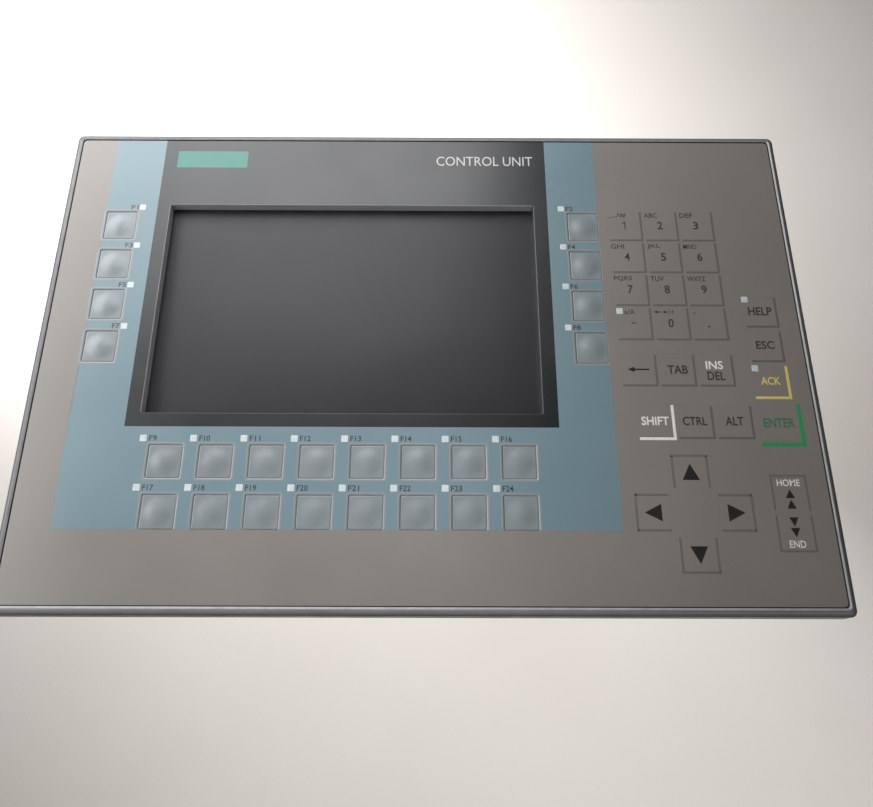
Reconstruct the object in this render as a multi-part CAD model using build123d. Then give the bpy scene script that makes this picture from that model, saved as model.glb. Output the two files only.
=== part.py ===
from build123d import *
import math
import os
from collections import namedtuple

# A key-operated operator panel for a cabinet door: a 7 inch wide display, 24 function keys, a number pad and
# system keys, behind a printed front foil in a cast frame, with a deep electronics housing behind the door.
#
# It is drawn lying on its back: X to the right, Y up the front, Z out of the front. Z = 0 is the face that
# the door sheet seals against. save() stands each piece upright, with the front towards -Y and +Z up.
# All sizes are millimetres.

# ---- Front frame and foil ----
FRONT_WIDTH, FRONT_HEIGHT = 309.5, 205.5
FRONT_RADIUS = 2.2
FOIL_WIDTH, FOIL_HEIGHT = 302.0, 198.0
FOIL_RADIUS = 1.5
FOIL_THICKNESS = 0.5
FOIL_FACE = 8.0  # height of the printed face above the door sheet
FOIL_GROOVE = 0.4  # open joint between the foil and the frame's rim
RIM_TOP = 8.3
RIM_CREST = 0.7  # flat width of the rim's crest
RIM_SHOULDER = 7.0  # height where the rim's slope meets its side wall
WALL_DRAFT = 0.4
RIM_ROUND = 0.25
SHOULDER_ROUND = 0.9
WEB_BACK = 5.5  # rear face of the thin wall that the foil is bonded to
POCKET_WIDTH, POCKET_HEIGHT = 293.0, 190.0
POCKET_RADIUS = 3.0

# ---- Door cut-out, seal and housing ----
HOUSING_WIDTH, HOUSING_HEIGHT = 278.0, 174.0  # passes through a 281 x 177 cut-out
HOUSING_RADIUS = 3.0
HOUSING_WALL = 2.5
HOUSING_BACK = -50.0
FLANGE_THICKNESS = 1.5
FLANGE_GAP = 0.3
COVER_THICKNESS = 2.0
COVER_ROUND = 0.8
COVER_LIP_GAP, COVER_LIP_WALL, COVER_LIP_HEIGHT = 0.3, 1.5, 3.0
COVER_BACK = HOUSING_BACK - COVER_THICKNESS
SEAL_WIDTH = 3.0
SEAL_DEPTH = 2.0
SEAL_PROUD = 0.6
SEAL_GAP = 0.1
SEAL_LINE_WIDTH, SEAL_LINE_HEIGHT = 300.5, 197.0  # centre line of the sealing groove

# ---- Display ----
DISPLAY_X, DISPLAY_Y = -31.25, 19.25
OPENING_WIDTH, OPENING_HEIGHT = 155.1, 93.7
OPENING_RADIUS = 0.6
WINDOW_MARGIN = 3.5
WINDOW_FACE = 4.2
WINDOW_THICKNESS = 1.0
MODULE_WIDTH, MODULE_HEIGHT = 165.0, 104.0
ACTIVE_WIDTH, ACTIVE_HEIGHT = 152.4, 91.4  # 7 inch wide screen
MODULE_FACE, MODULE_BACK = 1.5, -7.0
GLASS_FACE = 1.2

# ---- Keys ----
KEY_GAP = 0.15
KEY_TRAVEL = 0.4
KEY_CORNER = 0.5
CAP_BACK = 5.4
COLLAR_BACK = 4.9
COLLAR_LIP = 0.4
STEM_RADIUS = 2.0
DOME_RADIUS, DOME_HEIGHT = 5.0, 0.35
NOTCH = 3.6  # corner left out of a cap where an indicator window sits in the foil

SIDE_KEY_SIZE = (12.6, 13.0)
SIDE_KEY_LEFT_X, SIDE_KEY_RIGHT_X = -128.9, 67.1
SIDE_KEY_TOP_Y, SIDE_KEY_PITCH = 55.8, 18.55
ROW_KEY_SIZE = (12.6, 12.6)
ROW_KEY_LEFT_X, ROW_KEY_PITCH = -97.4, 19.14
ROW_KEY_LINES = (-46.8, -65.94)

PAD_KEY_SIZE = (13.8, 13.8)
PAD_LEFT_X, PAD_TOP_Y, PAD_PITCH = 84.1, 56.7, 15.15
EDIT_KEY_SIZE = (13.8, 12.8)
EDIT_Y = -8.9
SHIFT_LEFT_X, SHIFT_Y = 88.6, -30.2
SYSTEM_KEY_SIZE = (13.0, 13.0)
SYSTEM_X = 135.7
HELP_Y, ESC_Y, ACK_Y = 16.6, 1.6, -13.9
ENTER_KEY_SIZE = (15.2, 15.0)
ENTER_X, ENTER_Y = 136.8, -31.2
ARROW_KEY_SIZE = (12.2, 12.2)
ARROWS_X, ARROWS_Y, ARROW_REACH = 100.5, -65.6, 15.0
JUMP_KEY_SIZE = (12.0, 12.8)
JUMP_X, HOME_Y, END_Y = 136.6, -58.6, -72.3

# ---- Indicator lamps ----
LAMP_HOLE = 2.2
LAMP_CHIP = (1.6, 1.6, 0.9)
SIDE_LAMP_LEFT_X, SIDE_LAMP_RIGHT_X, SIDE_LAMP_TOP_Y = -120.5, 58.1, 64.6
ROW_LAMP_LEFT_X, ROW_LAMP_LINES = -106.35, (-37.8, -56.85)
OTHER_LAMPS = ((79.3, 16.4), (130.7, 21.8), (130.7, -8.4))

# ---- Boards and chassis ----
KEY_BOARD_WIDTH, KEY_BOARD_HEIGHT = 289.0, 186.0
KEY_BOARD_FACE, KEY_BOARD_BACK = 3.5, 1.9
SNAP_DOME_RADIUS, SNAP_DOME_TOP = 3.0, 4.1
STEM_TIP = SNAP_DOME_TOP + KEY_TRAVEL + 0.1
CHASSIS_FACE, CHASSIS_THICKNESS = -7.0, 1.5
CHASSIS_GAP = 0.5
MAINBOARD_FACE, MAINBOARD_BACK = -30.0, -31.6
MAINBOARD_WIDTH = 248.0
MAINBOARD_LOW, MAINBOARD_HIGH = -84.0, 70.0
STANDOFF_RADIUS = 3.0
STANDOFFS = [(x, y) for x in (-116, 0, 116) for y in (-62, 62)]
CHASSIS_WINDOWS = ((60.0, 100.0, 92.0, 0.0), (70.0, 40.0, -60.0, -58.0), (50.0, 8.0, 30.0, 75.0))
CHASSIS_LEDGES = (-90.0, 0.0, 90.0)
LEDGE = (16.0, 5.0, 4.0)
DRIVER_BOARD = (120.0, 60.0, 1.5)

# ---- Components on the boards, each (width, height, thickness) ----
RIBBON_SOCKET = (28.0, 5.0, 3.0)
KEY_RIBBON_X, KEY_RIBBON_Y = 10.0, 79.0
MAIN_RIBBON_X, MAIN_RIBBON_Y = 30.0, 64.0
HEAT_SINK = (44.0, 44.0, 14.0)
HEAT_SINK_X, HEAT_SINK_Y = -40.0, 10.0
HEAT_SINK_BASE, FIN_COUNT, FIN_THICKNESS = 3.0, 8, 1.2
MEMORY_CHIP = (13.0, 11.0, 1.2)
MEMORY_X, MEMORY_LINES = 4.0, (25.0, 9.0, -7.0)
COIL = (12.0, 12.0, 7.0)
COIL_PLACES, COIL_Y = (84.0, 102.0), 35.0
CAPACITOR_RADIUS, CAPACITOR_HEIGHT = 4.0, 12.0
CAPACITOR_PLACES, CAPACITOR_Y = (40.0, 52.0, 64.0), 58.0
CARD_SOCKET = (26.0, 24.0, 2.6)
BATTERY_RADIUS, BATTERY_HEIGHT = 10.2, 4.5
BATTERY_X, BATTERY_Y = -90.0, 40.0

# ---- Vents ----
VENT_SLOT, VENT_PITCH = 2.6, 6.2
WALL_VENT_LOW, WALL_VENT_HIGH = -42.0, -30.0
TOP_VENT_FIELDS, TOP_VENT_COUNT, SIDE_VENT_COUNT = (-66.0, 66.0), 13, 9
COVER_VENT_FIELDS, COVER_VENT_COUNT = (-70.0, 62.0), 11
COVER_VENT_LENGTH, COVER_VENT_Y = 26.0, 44.0

# ---- Fasteners ----
M3_SHANK, M3_HOLE = 1.2, 1.25
COUNTERSUNK_HEAD, COUNTERSUNK_DEPTH = 2.8, 1.2
PAN_HEAD, PAN_HEIGHT = 2.8, 1.9
DRIVE_RADIUS, DRIVE_DEPTH = 1.0, 0.9
FRAME_BOSS, FRAME_BOSS_TIP = 4.0, 2.5
FRAME_SCREWS = [(x, y) for x in (-141.8, -45, 52, 141.8) for y in (-90.4, 90.4)]
SCREW_CLEARANCE = 0.3
COVER_BOSS = 4.0
COVER_BOSS_DEPTH = 18.0
COVER_SCREWS = [(x, y) for x in (-131.5, 131.5) for y in (-79.5, 0, 79.5)] + [(0, 79.5)]

# ---- Mounting clips and their clamp screws ----
CLIP_WIDTH = 14.0
CLIP_BASE = 3.0
CLIP_FRONT, CLIP_REAR = -8.0, -27.0
LUG_REACH = 11.0
LUG_FRONT, LUG_REAR = -12.0, -19.0
HOOK_DEPTH, HOOK_FRONT, HOOK_REAR = 2.2, -21.0, -24.0
HOOK_GAP = 0.2
CLAMP_RADIUS, CLAMP_BORE = 2.0, 2.08
CLAMP_LINE = 7.0  # distance of the screw's axis from the housing wall
CLAMP_TIP, CLAMP_TAIL = -7.0, -29.0
HEX_KEY = 1.0
HEX_DEPTH = 3.0
TOP_CLIPS = (-105.0, 0.0, 105.0)
SIDE_CLIPS = (-42.0, 42.0)

# ---- Connectors along the lower edge ----
PORT_GAP = 0.3
LAN_SIZE = (16.0, 18.0, 13.4)
LAN_MOUTH = (11.8, 13.0, 8.4)
LAN_X = (44.0, 64.0)
USB_SIZE = (14.4, 16.0, 7.2)
USB_MOUTH = (12.6, 12.0, 5.2)
USB_X = (-58.0, -38.0)
SERIAL_X = 3.0
SERIAL_FLANGE = (30.8, 12.5)
SERIAL_SHELL = (16.9, 8.4)
SERIAL_SLOPE = 1.5
SERIAL_DEPTH, SERIAL_PROUD = 12.0, 5.0
PIN_PITCH, PIN_ROW, PIN_BORE = 2.77, 1.42, 0.6
JACK_POST, JACK_HEIGHT, JACK_SPACING = 2.4, 5.0, 25.0
POWER_X, POWER_POLES, POWER_PITCH = 104.0, 3, 5.08
POWER_DEPTH, POWER_HEIGHT = 14.0, 13.0
WIRE_ENTRY, WIRE_ENTRY_DEPTH, WIRE_LINE = 2.6, 8.0, 4.5
TERMINAL_SCREW, TERMINAL_SCREW_HOLE, TERMINAL_SCREW_LINE = 1.5, 1.7, 6.0
TERMINAL_SCREW_SUNK, TERMINAL_SCREW_HEIGHT = 1.0, 1.5
TERMINAL_SLOT = (2.2, 0.5, 0.6)

# ---- Card door on the rear cover ----
CARD_X, CARD_Y = 84.0, -36.0
CARD_BAY = (38.0, 20.0, 10.0)
BAY_WALL = 1.2
CARD_SLOT = (25.0, 2.6)
DOOR_SIZE = (46.0, 28.0, 2.0)
DOOR_TAB = (14.0, 3.0, 1.4)
DOOR_LIFT = 0.2
HINGE_RADIUS = 1.8
PIN_RADIUS, PIN_HOLE = 1.0, 1.08
EAR_WIDTH = 3.0
EAR_GAP = 0.3

# ---- Earth stud ----
STUD_X, STUD_Y = -112.0, -64.0
STUD_RADIUS, STUD_LENGTH = 2.0, 8.0
STUD_BASE_RADIUS, STUD_BASE_HEIGHT = 4.5, 2.0

UPRIGHT = Rot(90, 0, 0)
Cap = namedtuple("Cap", "x y width height notched domed", defaults=(False, False))


def save(name, *solids):
    """Stands a piece's solids upright, front towards -Y, and writes them as one file."""
    upright = [UPRIGHT * solid for solid in solids]
    shape = upright[0] if len(upright) == 1 else Compound(children=upright)
    export_step(shape, f"parts/{name}.step")


def slab(width, height, radius, low, high, x=0.0, y=0.0):
    """A plate with rounded corners, from height low to height high."""
    outline = RectangleRounded(width, height, radius)
    return extrude(Pos(x, y, low) * outline, high - low)


def block(size, x, y, low, high):
    """A square-cornered plate centred on x, y."""
    return Pos(x, y, (low + high) / 2) * Box(size[0], size[1], high - low)


def post(radius, x, y, low, high):
    """A round post or hole along Z."""
    return Pos(x, y, (low + high) / 2) * Cylinder(radius, high - low)


def frustum(wide, narrow, low, high):
    """A tapered plate between two rounded rectangles, each (width, height, radius)."""
    sections = [Pos(0, 0, low) * RectangleRounded(*wide), Pos(0, 0, high) * RectangleRounded(*narrow)]
    return loft(sections, ruled=True)


# ---- Key layout ----


def key_layout():
    """The caps of each key piece, by the piece's name."""
    keys = {}
    for row in range(4):
        y = SIDE_KEY_TOP_Y - row * SIDE_KEY_PITCH
        for offset, x in enumerate((SIDE_KEY_LEFT_X, SIDE_KEY_RIGHT_X)):
            keys[f"key_f{2 * row + 1 + offset}"] = [Cap(x, y, *SIDE_KEY_SIZE, domed=True)]
    for line, y in enumerate(ROW_KEY_LINES):
        for column in range(8):
            x = ROW_KEY_LEFT_X + column * ROW_KEY_PITCH
            keys[f"key_f{9 + 8 * line + column}"] = [Cap(x, y, *ROW_KEY_SIZE, domed=True)]
    columns = [PAD_LEFT_X + column * PAD_PITCH for column in range(3)]
    for row, name in enumerate(("keys_1_2_3", "keys_4_5_6", "keys_7_8_9", "keys_sign_0_point")):
        y = PAD_TOP_Y - row * PAD_PITCH
        keys[name] = [Cap(x, y, *PAD_KEY_SIZE, notched=row == 3 and x == columns[0]) for x in columns]
    for x, name in zip(columns, ("key_back", "key_tab", "key_ins_del")):
        keys[name] = [Cap(x, EDIT_Y, *EDIT_KEY_SIZE)]
    for column, name in enumerate(("key_shift", "key_ctrl", "key_alt")):
        keys[name] = [Cap(SHIFT_LEFT_X + column * PAD_PITCH, SHIFT_Y, *EDIT_KEY_SIZE)]
    keys["key_help"] = [Cap(SYSTEM_X, HELP_Y, *SYSTEM_KEY_SIZE, notched=True)]
    keys["key_esc"] = [Cap(SYSTEM_X, ESC_Y, *SYSTEM_KEY_SIZE)]
    keys["key_ack"] = [Cap(SYSTEM_X, ACK_Y, *SYSTEM_KEY_SIZE, notched=True)]
    keys["key_enter"] = [Cap(ENTER_X, ENTER_Y, *ENTER_KEY_SIZE)]
    keys["key_up"] = [Cap(ARROWS_X, ARROWS_Y + ARROW_REACH, *ARROW_KEY_SIZE)]
    keys["key_down"] = [Cap(ARROWS_X, ARROWS_Y - ARROW_REACH, *ARROW_KEY_SIZE)]
    keys["key_left"] = [Cap(ARROWS_X - ARROW_REACH, ARROWS_Y, *ARROW_KEY_SIZE)]
    keys["key_right"] = [Cap(ARROWS_X + ARROW_REACH, ARROWS_Y, *ARROW_KEY_SIZE)]
    keys["key_home"] = [Cap(JUMP_X, HOME_Y, *JUMP_KEY_SIZE)]
    keys["key_end"] = [Cap(JUMP_X, END_Y, *JUMP_KEY_SIZE)]
    return keys


def lamp_places():
    """Centres of the indicator windows: one beside each function key, and three on the key pad."""
    side = [
        (x, SIDE_LAMP_TOP_Y - row * SIDE_KEY_PITCH)
        for row in range(4)
        for x in (SIDE_LAMP_LEFT_X, SIDE_LAMP_RIGHT_X)
    ]
    rows = [(ROW_LAMP_LEFT_X + column * ROW_KEY_PITCH, y) for y in ROW_LAMP_LINES for column in range(8)]
    return side + rows + list(OTHER_LAMPS)


KEYS = key_layout()
CAPS = [cap for caps in KEYS.values() for cap in caps]
LAMPS = lamp_places()


def cap_prism(cap, low, high, grow=0.0):
    """A key cap's outline between two heights, grown on every side for its opening."""
    prism = slab(cap.width + 2 * grow, cap.height + 2 * grow, KEY_CORNER, low, high, cap.x, cap.y)
    if cap.notched:
        size = (NOTCH + grow, NOTCH + grow)
        left, top = cap.x - cap.width / 2, cap.y + cap.height / 2
        corner_x = left + NOTCH - grow - size[0] / 2
        corner_y = top - NOTCH + grow + size[1] / 2
        prism -= block(size, corner_x, corner_y, low, high)
    return prism


def key_openings(low, high):
    return [cap_prism(cap, low, high, KEY_GAP) for cap in CAPS]


def key_piece(caps):
    """Caps with a shared collar behind the frame's web and one stem above each snap dome."""
    left = min(cap.x - cap.width / 2 for cap in caps) - COLLAR_LIP
    right = max(cap.x + cap.width / 2 for cap in caps) + COLLAR_LIP
    collar_size = (right - left, caps[0].height + 2 * COLLAR_LIP)
    piece = block(collar_size, (left + right) / 2, caps[0].y, COLLAR_BACK, CAP_BACK)
    for cap in caps:
        piece += cap_prism(cap, CAP_BACK, FOIL_FACE)
        piece += post(STEM_RADIUS, cap.x, cap.y, STEM_TIP, COLLAR_BACK)
        if cap.domed:
            ball = (DOME_RADIUS**2 + DOME_HEIGHT**2) / (2 * DOME_HEIGHT)
            sphere = Pos(cap.x, cap.y, FOIL_FACE + DOME_HEIGHT - ball) * Sphere(ball)
            piece += sphere & post(DOME_RADIUS + 1, cap.x, cap.y, FOIL_FACE - 0.2, FOIL_FACE + 1)
    return piece


# ---- Front ----


def window_outline(grow=0.0):
    return OPENING_WIDTH + 2 * (WINDOW_MARGIN + grow), OPENING_HEIGHT + 2 * (WINDOW_MARGIN + grow)


def display_opening(low, high):
    return slab(OPENING_WIDTH, OPENING_HEIGHT, OPENING_RADIUS, low, high, DISPLAY_X, DISPLAY_Y)


def front_frame():
    """Cast frame: rim round the foil, thin web with the key openings, bosses and the seal's groove."""
    foot = (FRONT_WIDTH, FRONT_HEIGHT, FRONT_RADIUS)
    shoulder = (FRONT_WIDTH - 2 * WALL_DRAFT, FRONT_HEIGHT - 2 * WALL_DRAFT, FRONT_RADIUS)
    crest_x = FOIL_WIDTH + 2 * (FOIL_GROOVE + RIM_CREST)
    crest_y = FOIL_HEIGHT + 2 * (FOIL_GROOVE + RIM_CREST)
    crest = (crest_x, crest_y, FOIL_RADIUS + FOIL_GROOVE)
    frame = frustum(foot, shoulder, 0, RIM_SHOULDER) + frustum(shoulder, crest, RIM_SHOULDER, RIM_TOP)
    for height, radius in ((RIM_SHOULDER, SHOULDER_ROUND), (RIM_TOP, RIM_ROUND)):
        frame = fillet(frame.edges().filter_by_position(Axis.Z, height - 0.01, height + 0.01), radius)
    seat_width, seat_height = FOIL_WIDTH + 2 * FOIL_GROOVE, FOIL_HEIGHT + 2 * FOIL_GROOVE
    frame -= slab(seat_width, seat_height, FOIL_RADIUS, FOIL_FACE - FOIL_THICKNESS, RIM_TOP + 1)
    frame -= slab(POCKET_WIDTH, POCKET_HEIGHT, POCKET_RADIUS, 0, WEB_BACK)
    frame += block(window_outline(0.5), DISPLAY_X, DISPLAY_Y, WINDOW_FACE, WEB_BACK)
    for x, y in FRAME_SCREWS:
        frame += post(FRAME_BOSS, x, y, KEY_BOARD_FACE, WEB_BACK)
        frame += post(FRAME_BOSS_TIP, x, y, KEY_BOARD_BACK, KEY_BOARD_FACE)
    frame -= display_opening(0, RIM_TOP)
    frame -= key_openings(WEB_BACK, FOIL_FACE)
    frame -= [block((LAMP_HOLE, LAMP_HOLE), x, y, WEB_BACK, FOIL_FACE) for x, y in LAMPS]
    frame -= [post(M3_HOLE, x, y, KEY_BOARD_BACK, WEB_BACK) for x, y in FRAME_SCREWS]
    return frame - seal_ring(SEAL_WIDTH, 0, SEAL_DEPTH)


def seal_ring(width, low, high):
    """A square ring along the seal's centre line."""
    outer = slab(SEAL_LINE_WIDTH + width, SEAL_LINE_HEIGHT + width, 2 + width / 2, low, high)
    return outer - slab(SEAL_LINE_WIDTH - width, SEAL_LINE_HEIGHT - width, 2 - width / 2, low, high)


def front_foil():
    foil = slab(FOIL_WIDTH, FOIL_HEIGHT, FOIL_RADIUS, FOIL_FACE - FOIL_THICKNESS, FOIL_FACE)
    foil -= display_opening(0, RIM_TOP)
    return foil - key_openings(WEB_BACK, FOIL_FACE)


def mounting_seal():
    """Rubber gasket in the frame's groove, standing a little proud, with a narrower sealing lip."""
    foot = seal_ring(SEAL_WIDTH - 2 * SEAL_GAP, 0, SEAL_DEPTH)
    return foot + seal_ring(SEAL_WIDTH / 2, -SEAL_PROUD, 0)


# ---- Display, boards and chassis ----


def display_window():
    width, height = window_outline()
    back = WINDOW_FACE - WINDOW_THICKNESS
    return slab(width, height, OPENING_RADIUS, back, WINDOW_FACE, DISPLAY_X, DISPLAY_Y)


def display_module():
    """Metal tray with a rim round the screen, the glass inside it, and the driver board on its back."""
    tray_floor, lip, active_margin = 1.0, 0.6, 0.5
    active = (ACTIVE_WIDTH + 2 * active_margin, ACTIVE_HEIGHT + 2 * active_margin)
    inside = (MODULE_WIDTH - 2 * lip, MODULE_HEIGHT - 2 * lip)
    tray_back = MODULE_BACK + DRIVER_BOARD[2]
    tray = block((MODULE_WIDTH, MODULE_HEIGHT), DISPLAY_X, DISPLAY_Y, tray_back, MODULE_FACE)
    tray -= block(inside, DISPLAY_X, DISPLAY_Y, tray_back + tray_floor, GLASS_FACE)
    tray -= block(active, DISPLAY_X, DISPLAY_Y, GLASS_FACE, MODULE_FACE)
    glass = block(inside, DISPLAY_X, DISPLAY_Y, tray_back + tray_floor, GLASS_FACE)
    board = block(DRIVER_BOARD, DISPLAY_X, DISPLAY_Y, MODULE_BACK, tray_back)
    return tray, glass, board


def key_circuit_board():
    """Board with one snap dome under each key stem and one lamp under each indicator window."""
    board = slab(KEY_BOARD_WIDTH, KEY_BOARD_HEIGHT, 2, KEY_BOARD_BACK, KEY_BOARD_FACE)
    board -= block(window_outline(0.5), DISPLAY_X, DISPLAY_Y, KEY_BOARD_BACK, KEY_BOARD_FACE)
    board -= [post(FRAME_BOSS_TIP + 0.3, x, y, KEY_BOARD_BACK, KEY_BOARD_FACE) for x, y in FRAME_SCREWS]
    rise = SNAP_DOME_TOP - KEY_BOARD_FACE
    domes = [
        Pos(cap.x, cap.y, KEY_BOARD_FACE + rise / 2) * Cone(SNAP_DOME_RADIUS, SNAP_DOME_RADIUS / 2, rise)
        for cap in CAPS
    ]
    lamps = [block(LAMP_CHIP, x, y, KEY_BOARD_FACE, KEY_BOARD_FACE + LAMP_CHIP[2]) for x, y in LAMPS]
    return [board, *domes, *lamps, behind_board(RIBBON_SOCKET, KEY_RIBBON_X, KEY_RIBBON_Y, KEY_BOARD_BACK)]


def behind_board(size, x, y, board_back):
    """A component on a board's rear face."""
    return block(size, x, y, board_back - size[2], board_back)


def chassis_plate():
    """Sheet that carries the display on its front and the mainboard on standoffs behind it."""
    width = HOUSING_WIDTH - 2 * (HOUSING_WALL + CHASSIS_GAP)
    height = HOUSING_HEIGHT - 2 * (HOUSING_WALL + CHASSIS_GAP)
    back = CHASSIS_FACE - CHASSIS_THICKNESS
    plate = slab(width, height, 1, back, CHASSIS_FACE)
    for window_width, window_height, x, y in CHASSIS_WINDOWS:
        plate -= slab(window_width, window_height, 3, back, CHASSIS_FACE, x, y)
    for x, y in STANDOFFS:
        plate += post(STANDOFF_RADIUS, x, y, MAINBOARD_FACE, back)
    return plate


def heat_sink():
    """Finned block on the processor, its fins pointing to the rear."""
    width, height, depth = HEAT_SINK
    base_back = MAINBOARD_BACK - HEAT_SINK_BASE
    sink = block(HEAT_SINK, HEAT_SINK_X, HEAT_SINK_Y, base_back, MAINBOARD_BACK)
    spacing = (width - FIN_THICKNESS) / (FIN_COUNT - 1)
    first = HEAT_SINK_X - (width - FIN_THICKNESS) / 2
    for index in range(FIN_COUNT):
        x = first + index * spacing
        sink += block((FIN_THICKNESS, height), x, HEAT_SINK_Y, MAINBOARD_BACK - depth, base_back)
    return sink


def mainboard():
    """Processor board with its heat sink, memory, power stage, card socket and backup battery."""
    height = MAINBOARD_HIGH - MAINBOARD_LOW
    middle = (MAINBOARD_HIGH + MAINBOARD_LOW) / 2
    board = slab(MAINBOARD_WIDTH, height, 2, MAINBOARD_BACK, MAINBOARD_FACE, 0, middle)
    board -= [post(M3_HOLE + SCREW_CLEARANCE, x, y, MAINBOARD_BACK, MAINBOARD_FACE) for x, y in STANDOFFS]
    back = MAINBOARD_BACK
    parts = [board, heat_sink()]
    parts += [behind_board(MEMORY_CHIP, MEMORY_X, y, back) for y in MEMORY_LINES]
    parts += [behind_board(COIL, x, COIL_Y, back) for x in COIL_PLACES]
    parts += [post(CAPACITOR_RADIUS, x, CAPACITOR_Y, back - CAPACITOR_HEIGHT, back) for x in CAPACITOR_PLACES]
    parts += [behind_board(CARD_SOCKET, CARD_X, CARD_Y, back)]
    parts += [post(BATTERY_RADIUS, BATTERY_X, BATTERY_Y, back - BATTERY_HEIGHT, back)]
    ribbon_top = MAINBOARD_FACE + RIBBON_SOCKET[2]
    parts += [block(RIBBON_SOCKET, MAIN_RIBBON_X, MAIN_RIBBON_Y, MAINBOARD_FACE, ribbon_top)]
    return parts


# ---- Housing and cover ----


def wall_places():
    """Each clip's place: the middle of its foot on the housing wall and its turn about Z."""
    half_width, half_height = HOUSING_WIDTH / 2, HOUSING_HEIGHT / 2
    places = [(x, half_height, 0) for x in TOP_CLIPS] + [(x, -half_height, 180) for x in TOP_CLIPS]
    places += [(-half_width, y, 90) for y in SIDE_CLIPS] + [(half_width, y, -90) for y in SIDE_CLIPS]
    return places


def at_walls(shape):
    """Copies of a shape drawn for the top wall, one at each clip's place."""
    return [Pos(x, y, 0) * Rot(0, 0, turn) * shape for x, y, turn in wall_places()]


def port_blocks():
    """Outer size and middle of each connector body that passes through the lower wall."""
    blocks = [(x, LAN_SIZE[0], LAN_SIZE[2]) for x in LAN_X]
    blocks += [(x, USB_SIZE[0], USB_SIZE[2]) for x in USB_X]
    blocks += [(SERIAL_X, *SERIAL_FLANGE)]
    blocks += [(POWER_X, POWER_POLES * POWER_PITCH + 2, POWER_HEIGHT)]
    return blocks


def rear_housing():
    """Deep open box with a flange that the frame's screws clamp, vents, and openings for the connectors."""
    flange_width, flange_height = POCKET_WIDTH - 2 * FLANGE_GAP, POCKET_HEIGHT - 2 * FLANGE_GAP
    inner_width, inner_height = HOUSING_WIDTH - 2 * HOUSING_WALL, HOUSING_HEIGHT - 2 * HOUSING_WALL
    housing = slab(flange_width, flange_height, POCKET_RADIUS - FLANGE_GAP, 0, FLANGE_THICKNESS)
    housing += slab(HOUSING_WIDTH, HOUSING_HEIGHT, HOUSING_RADIUS, HOUSING_BACK, 0)
    housing -= slab(inner_width, inner_height, HOUSING_RADIUS / 2, HOUSING_BACK, FLANGE_THICKNESS)
    hole = M3_SHANK + SCREW_CLEARANCE
    for x, y in FRAME_SCREWS:
        housing += post(FRAME_BOSS, x, y, FLANGE_THICKNESS, KEY_BOARD_BACK)
        housing -= post(hole, x, y, 0, KEY_BOARD_BACK)
        housing -= Pos(x, y, COUNTERSUNK_DEPTH / 2) * Cone(COUNTERSUNK_HEAD + 0.1, hole, COUNTERSUNK_DEPTH)
    boss_top = HOUSING_BACK + COVER_BOSS_DEPTH
    for x, y in COVER_SCREWS:
        housing += post(COVER_BOSS, x, y, HOUSING_BACK, boss_top)
        if x == 0:
            web_y = (inner_height - COVER_BOSS) / 2
            web = block((2 * COVER_BOSS, COVER_BOSS), x, web_y, HOUSING_BACK, boss_top)
        else:
            web_x = math.copysign((inner_width - COVER_BOSS) / 2, x)
            web = block((COVER_BOSS, 2 * COVER_BOSS), web_x, y, HOUSING_BACK, boss_top)
        housing += web
        housing -= post(M3_HOLE, x, y, HOUSING_BACK, boss_top - COVER_BOSS)
    ledge_top = CHASSIS_FACE - CHASSIS_THICKNESS
    ledge_y = (inner_height - LEDGE[1]) / 2
    for x in CHASSIS_LEDGES:
        for y in (-ledge_y, ledge_y):
            housing += block(LEDGE, x, y, ledge_top - LEDGE[2], ledge_top)
    return housing - housing_openings()


def vent_line(middle, count):
    """Centres of a row of vent slots."""
    return [middle + (index - (count - 1) / 2) * VENT_PITCH for index in range(count)]


def housing_openings():
    """Vent slots in the top and side walls, hook windows for the clips, and the connector openings."""
    wall = 3 * HOUSING_WALL
    top, side = HOUSING_HEIGHT / 2, HOUSING_WIDTH / 2
    cuts = []
    for field in TOP_VENT_FIELDS:
        for x in vent_line(field, TOP_VENT_COUNT):
            cuts.append(block((VENT_SLOT, wall), x, top, WALL_VENT_LOW, WALL_VENT_HIGH))
    for x in (-side, side):
        for y in vent_line(0, SIDE_VENT_COUNT):
            cuts.append(block((wall, VENT_SLOT), x, y, WALL_VENT_LOW, WALL_VENT_HIGH))
    hook = (CLIP_WIDTH - 4 + 2 * HOOK_GAP, wall)
    cuts += at_walls(block(hook, 0, 0, HOOK_REAR - HOOK_GAP, HOOK_FRONT + HOOK_GAP))
    for x, width, height in port_blocks():
        port = (width + 2 * PORT_GAP, wall)
        low_edge = MAINBOARD_BACK - height - PORT_GAP
        cuts.append(block(port, x, -top, low_edge, MAINBOARD_BACK + PORT_GAP))
    return cuts


def rear_cover():
    """Back plate with a locating lip, vents and the door's hinge ears, the card bay, and the earth stud."""
    cover = slab(HOUSING_WIDTH, HOUSING_HEIGHT, HOUSING_RADIUS, COVER_BACK, HOUSING_BACK)
    outer_edges = cover.edges().filter_by_position(Axis.Z, COVER_BACK - 0.01, COVER_BACK + 0.01)
    cover = fillet(outer_edges, COVER_ROUND) + cover_lip()
    cover -= [post(M3_SHANK + SCREW_CLEARANCE, x, y, COVER_BACK, HOUSING_BACK) for x, y in COVER_SCREWS]
    for field in COVER_VENT_FIELDS:
        for x in vent_line(field, COVER_VENT_COUNT):
            corner = VENT_SLOT / 2 - 0.1
            cover -= slab(VENT_SLOT, COVER_VENT_LENGTH, corner, COVER_BACK, HOUSING_BACK, x, COVER_VENT_Y)
    cover -= block(CARD_BAY, CARD_X, CARD_Y, COVER_BACK, HOUSING_BACK)
    for side in (-1, 1):
        cover += hinge_ear(side)
    return cover, card_bay(), earth_stud()


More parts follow.
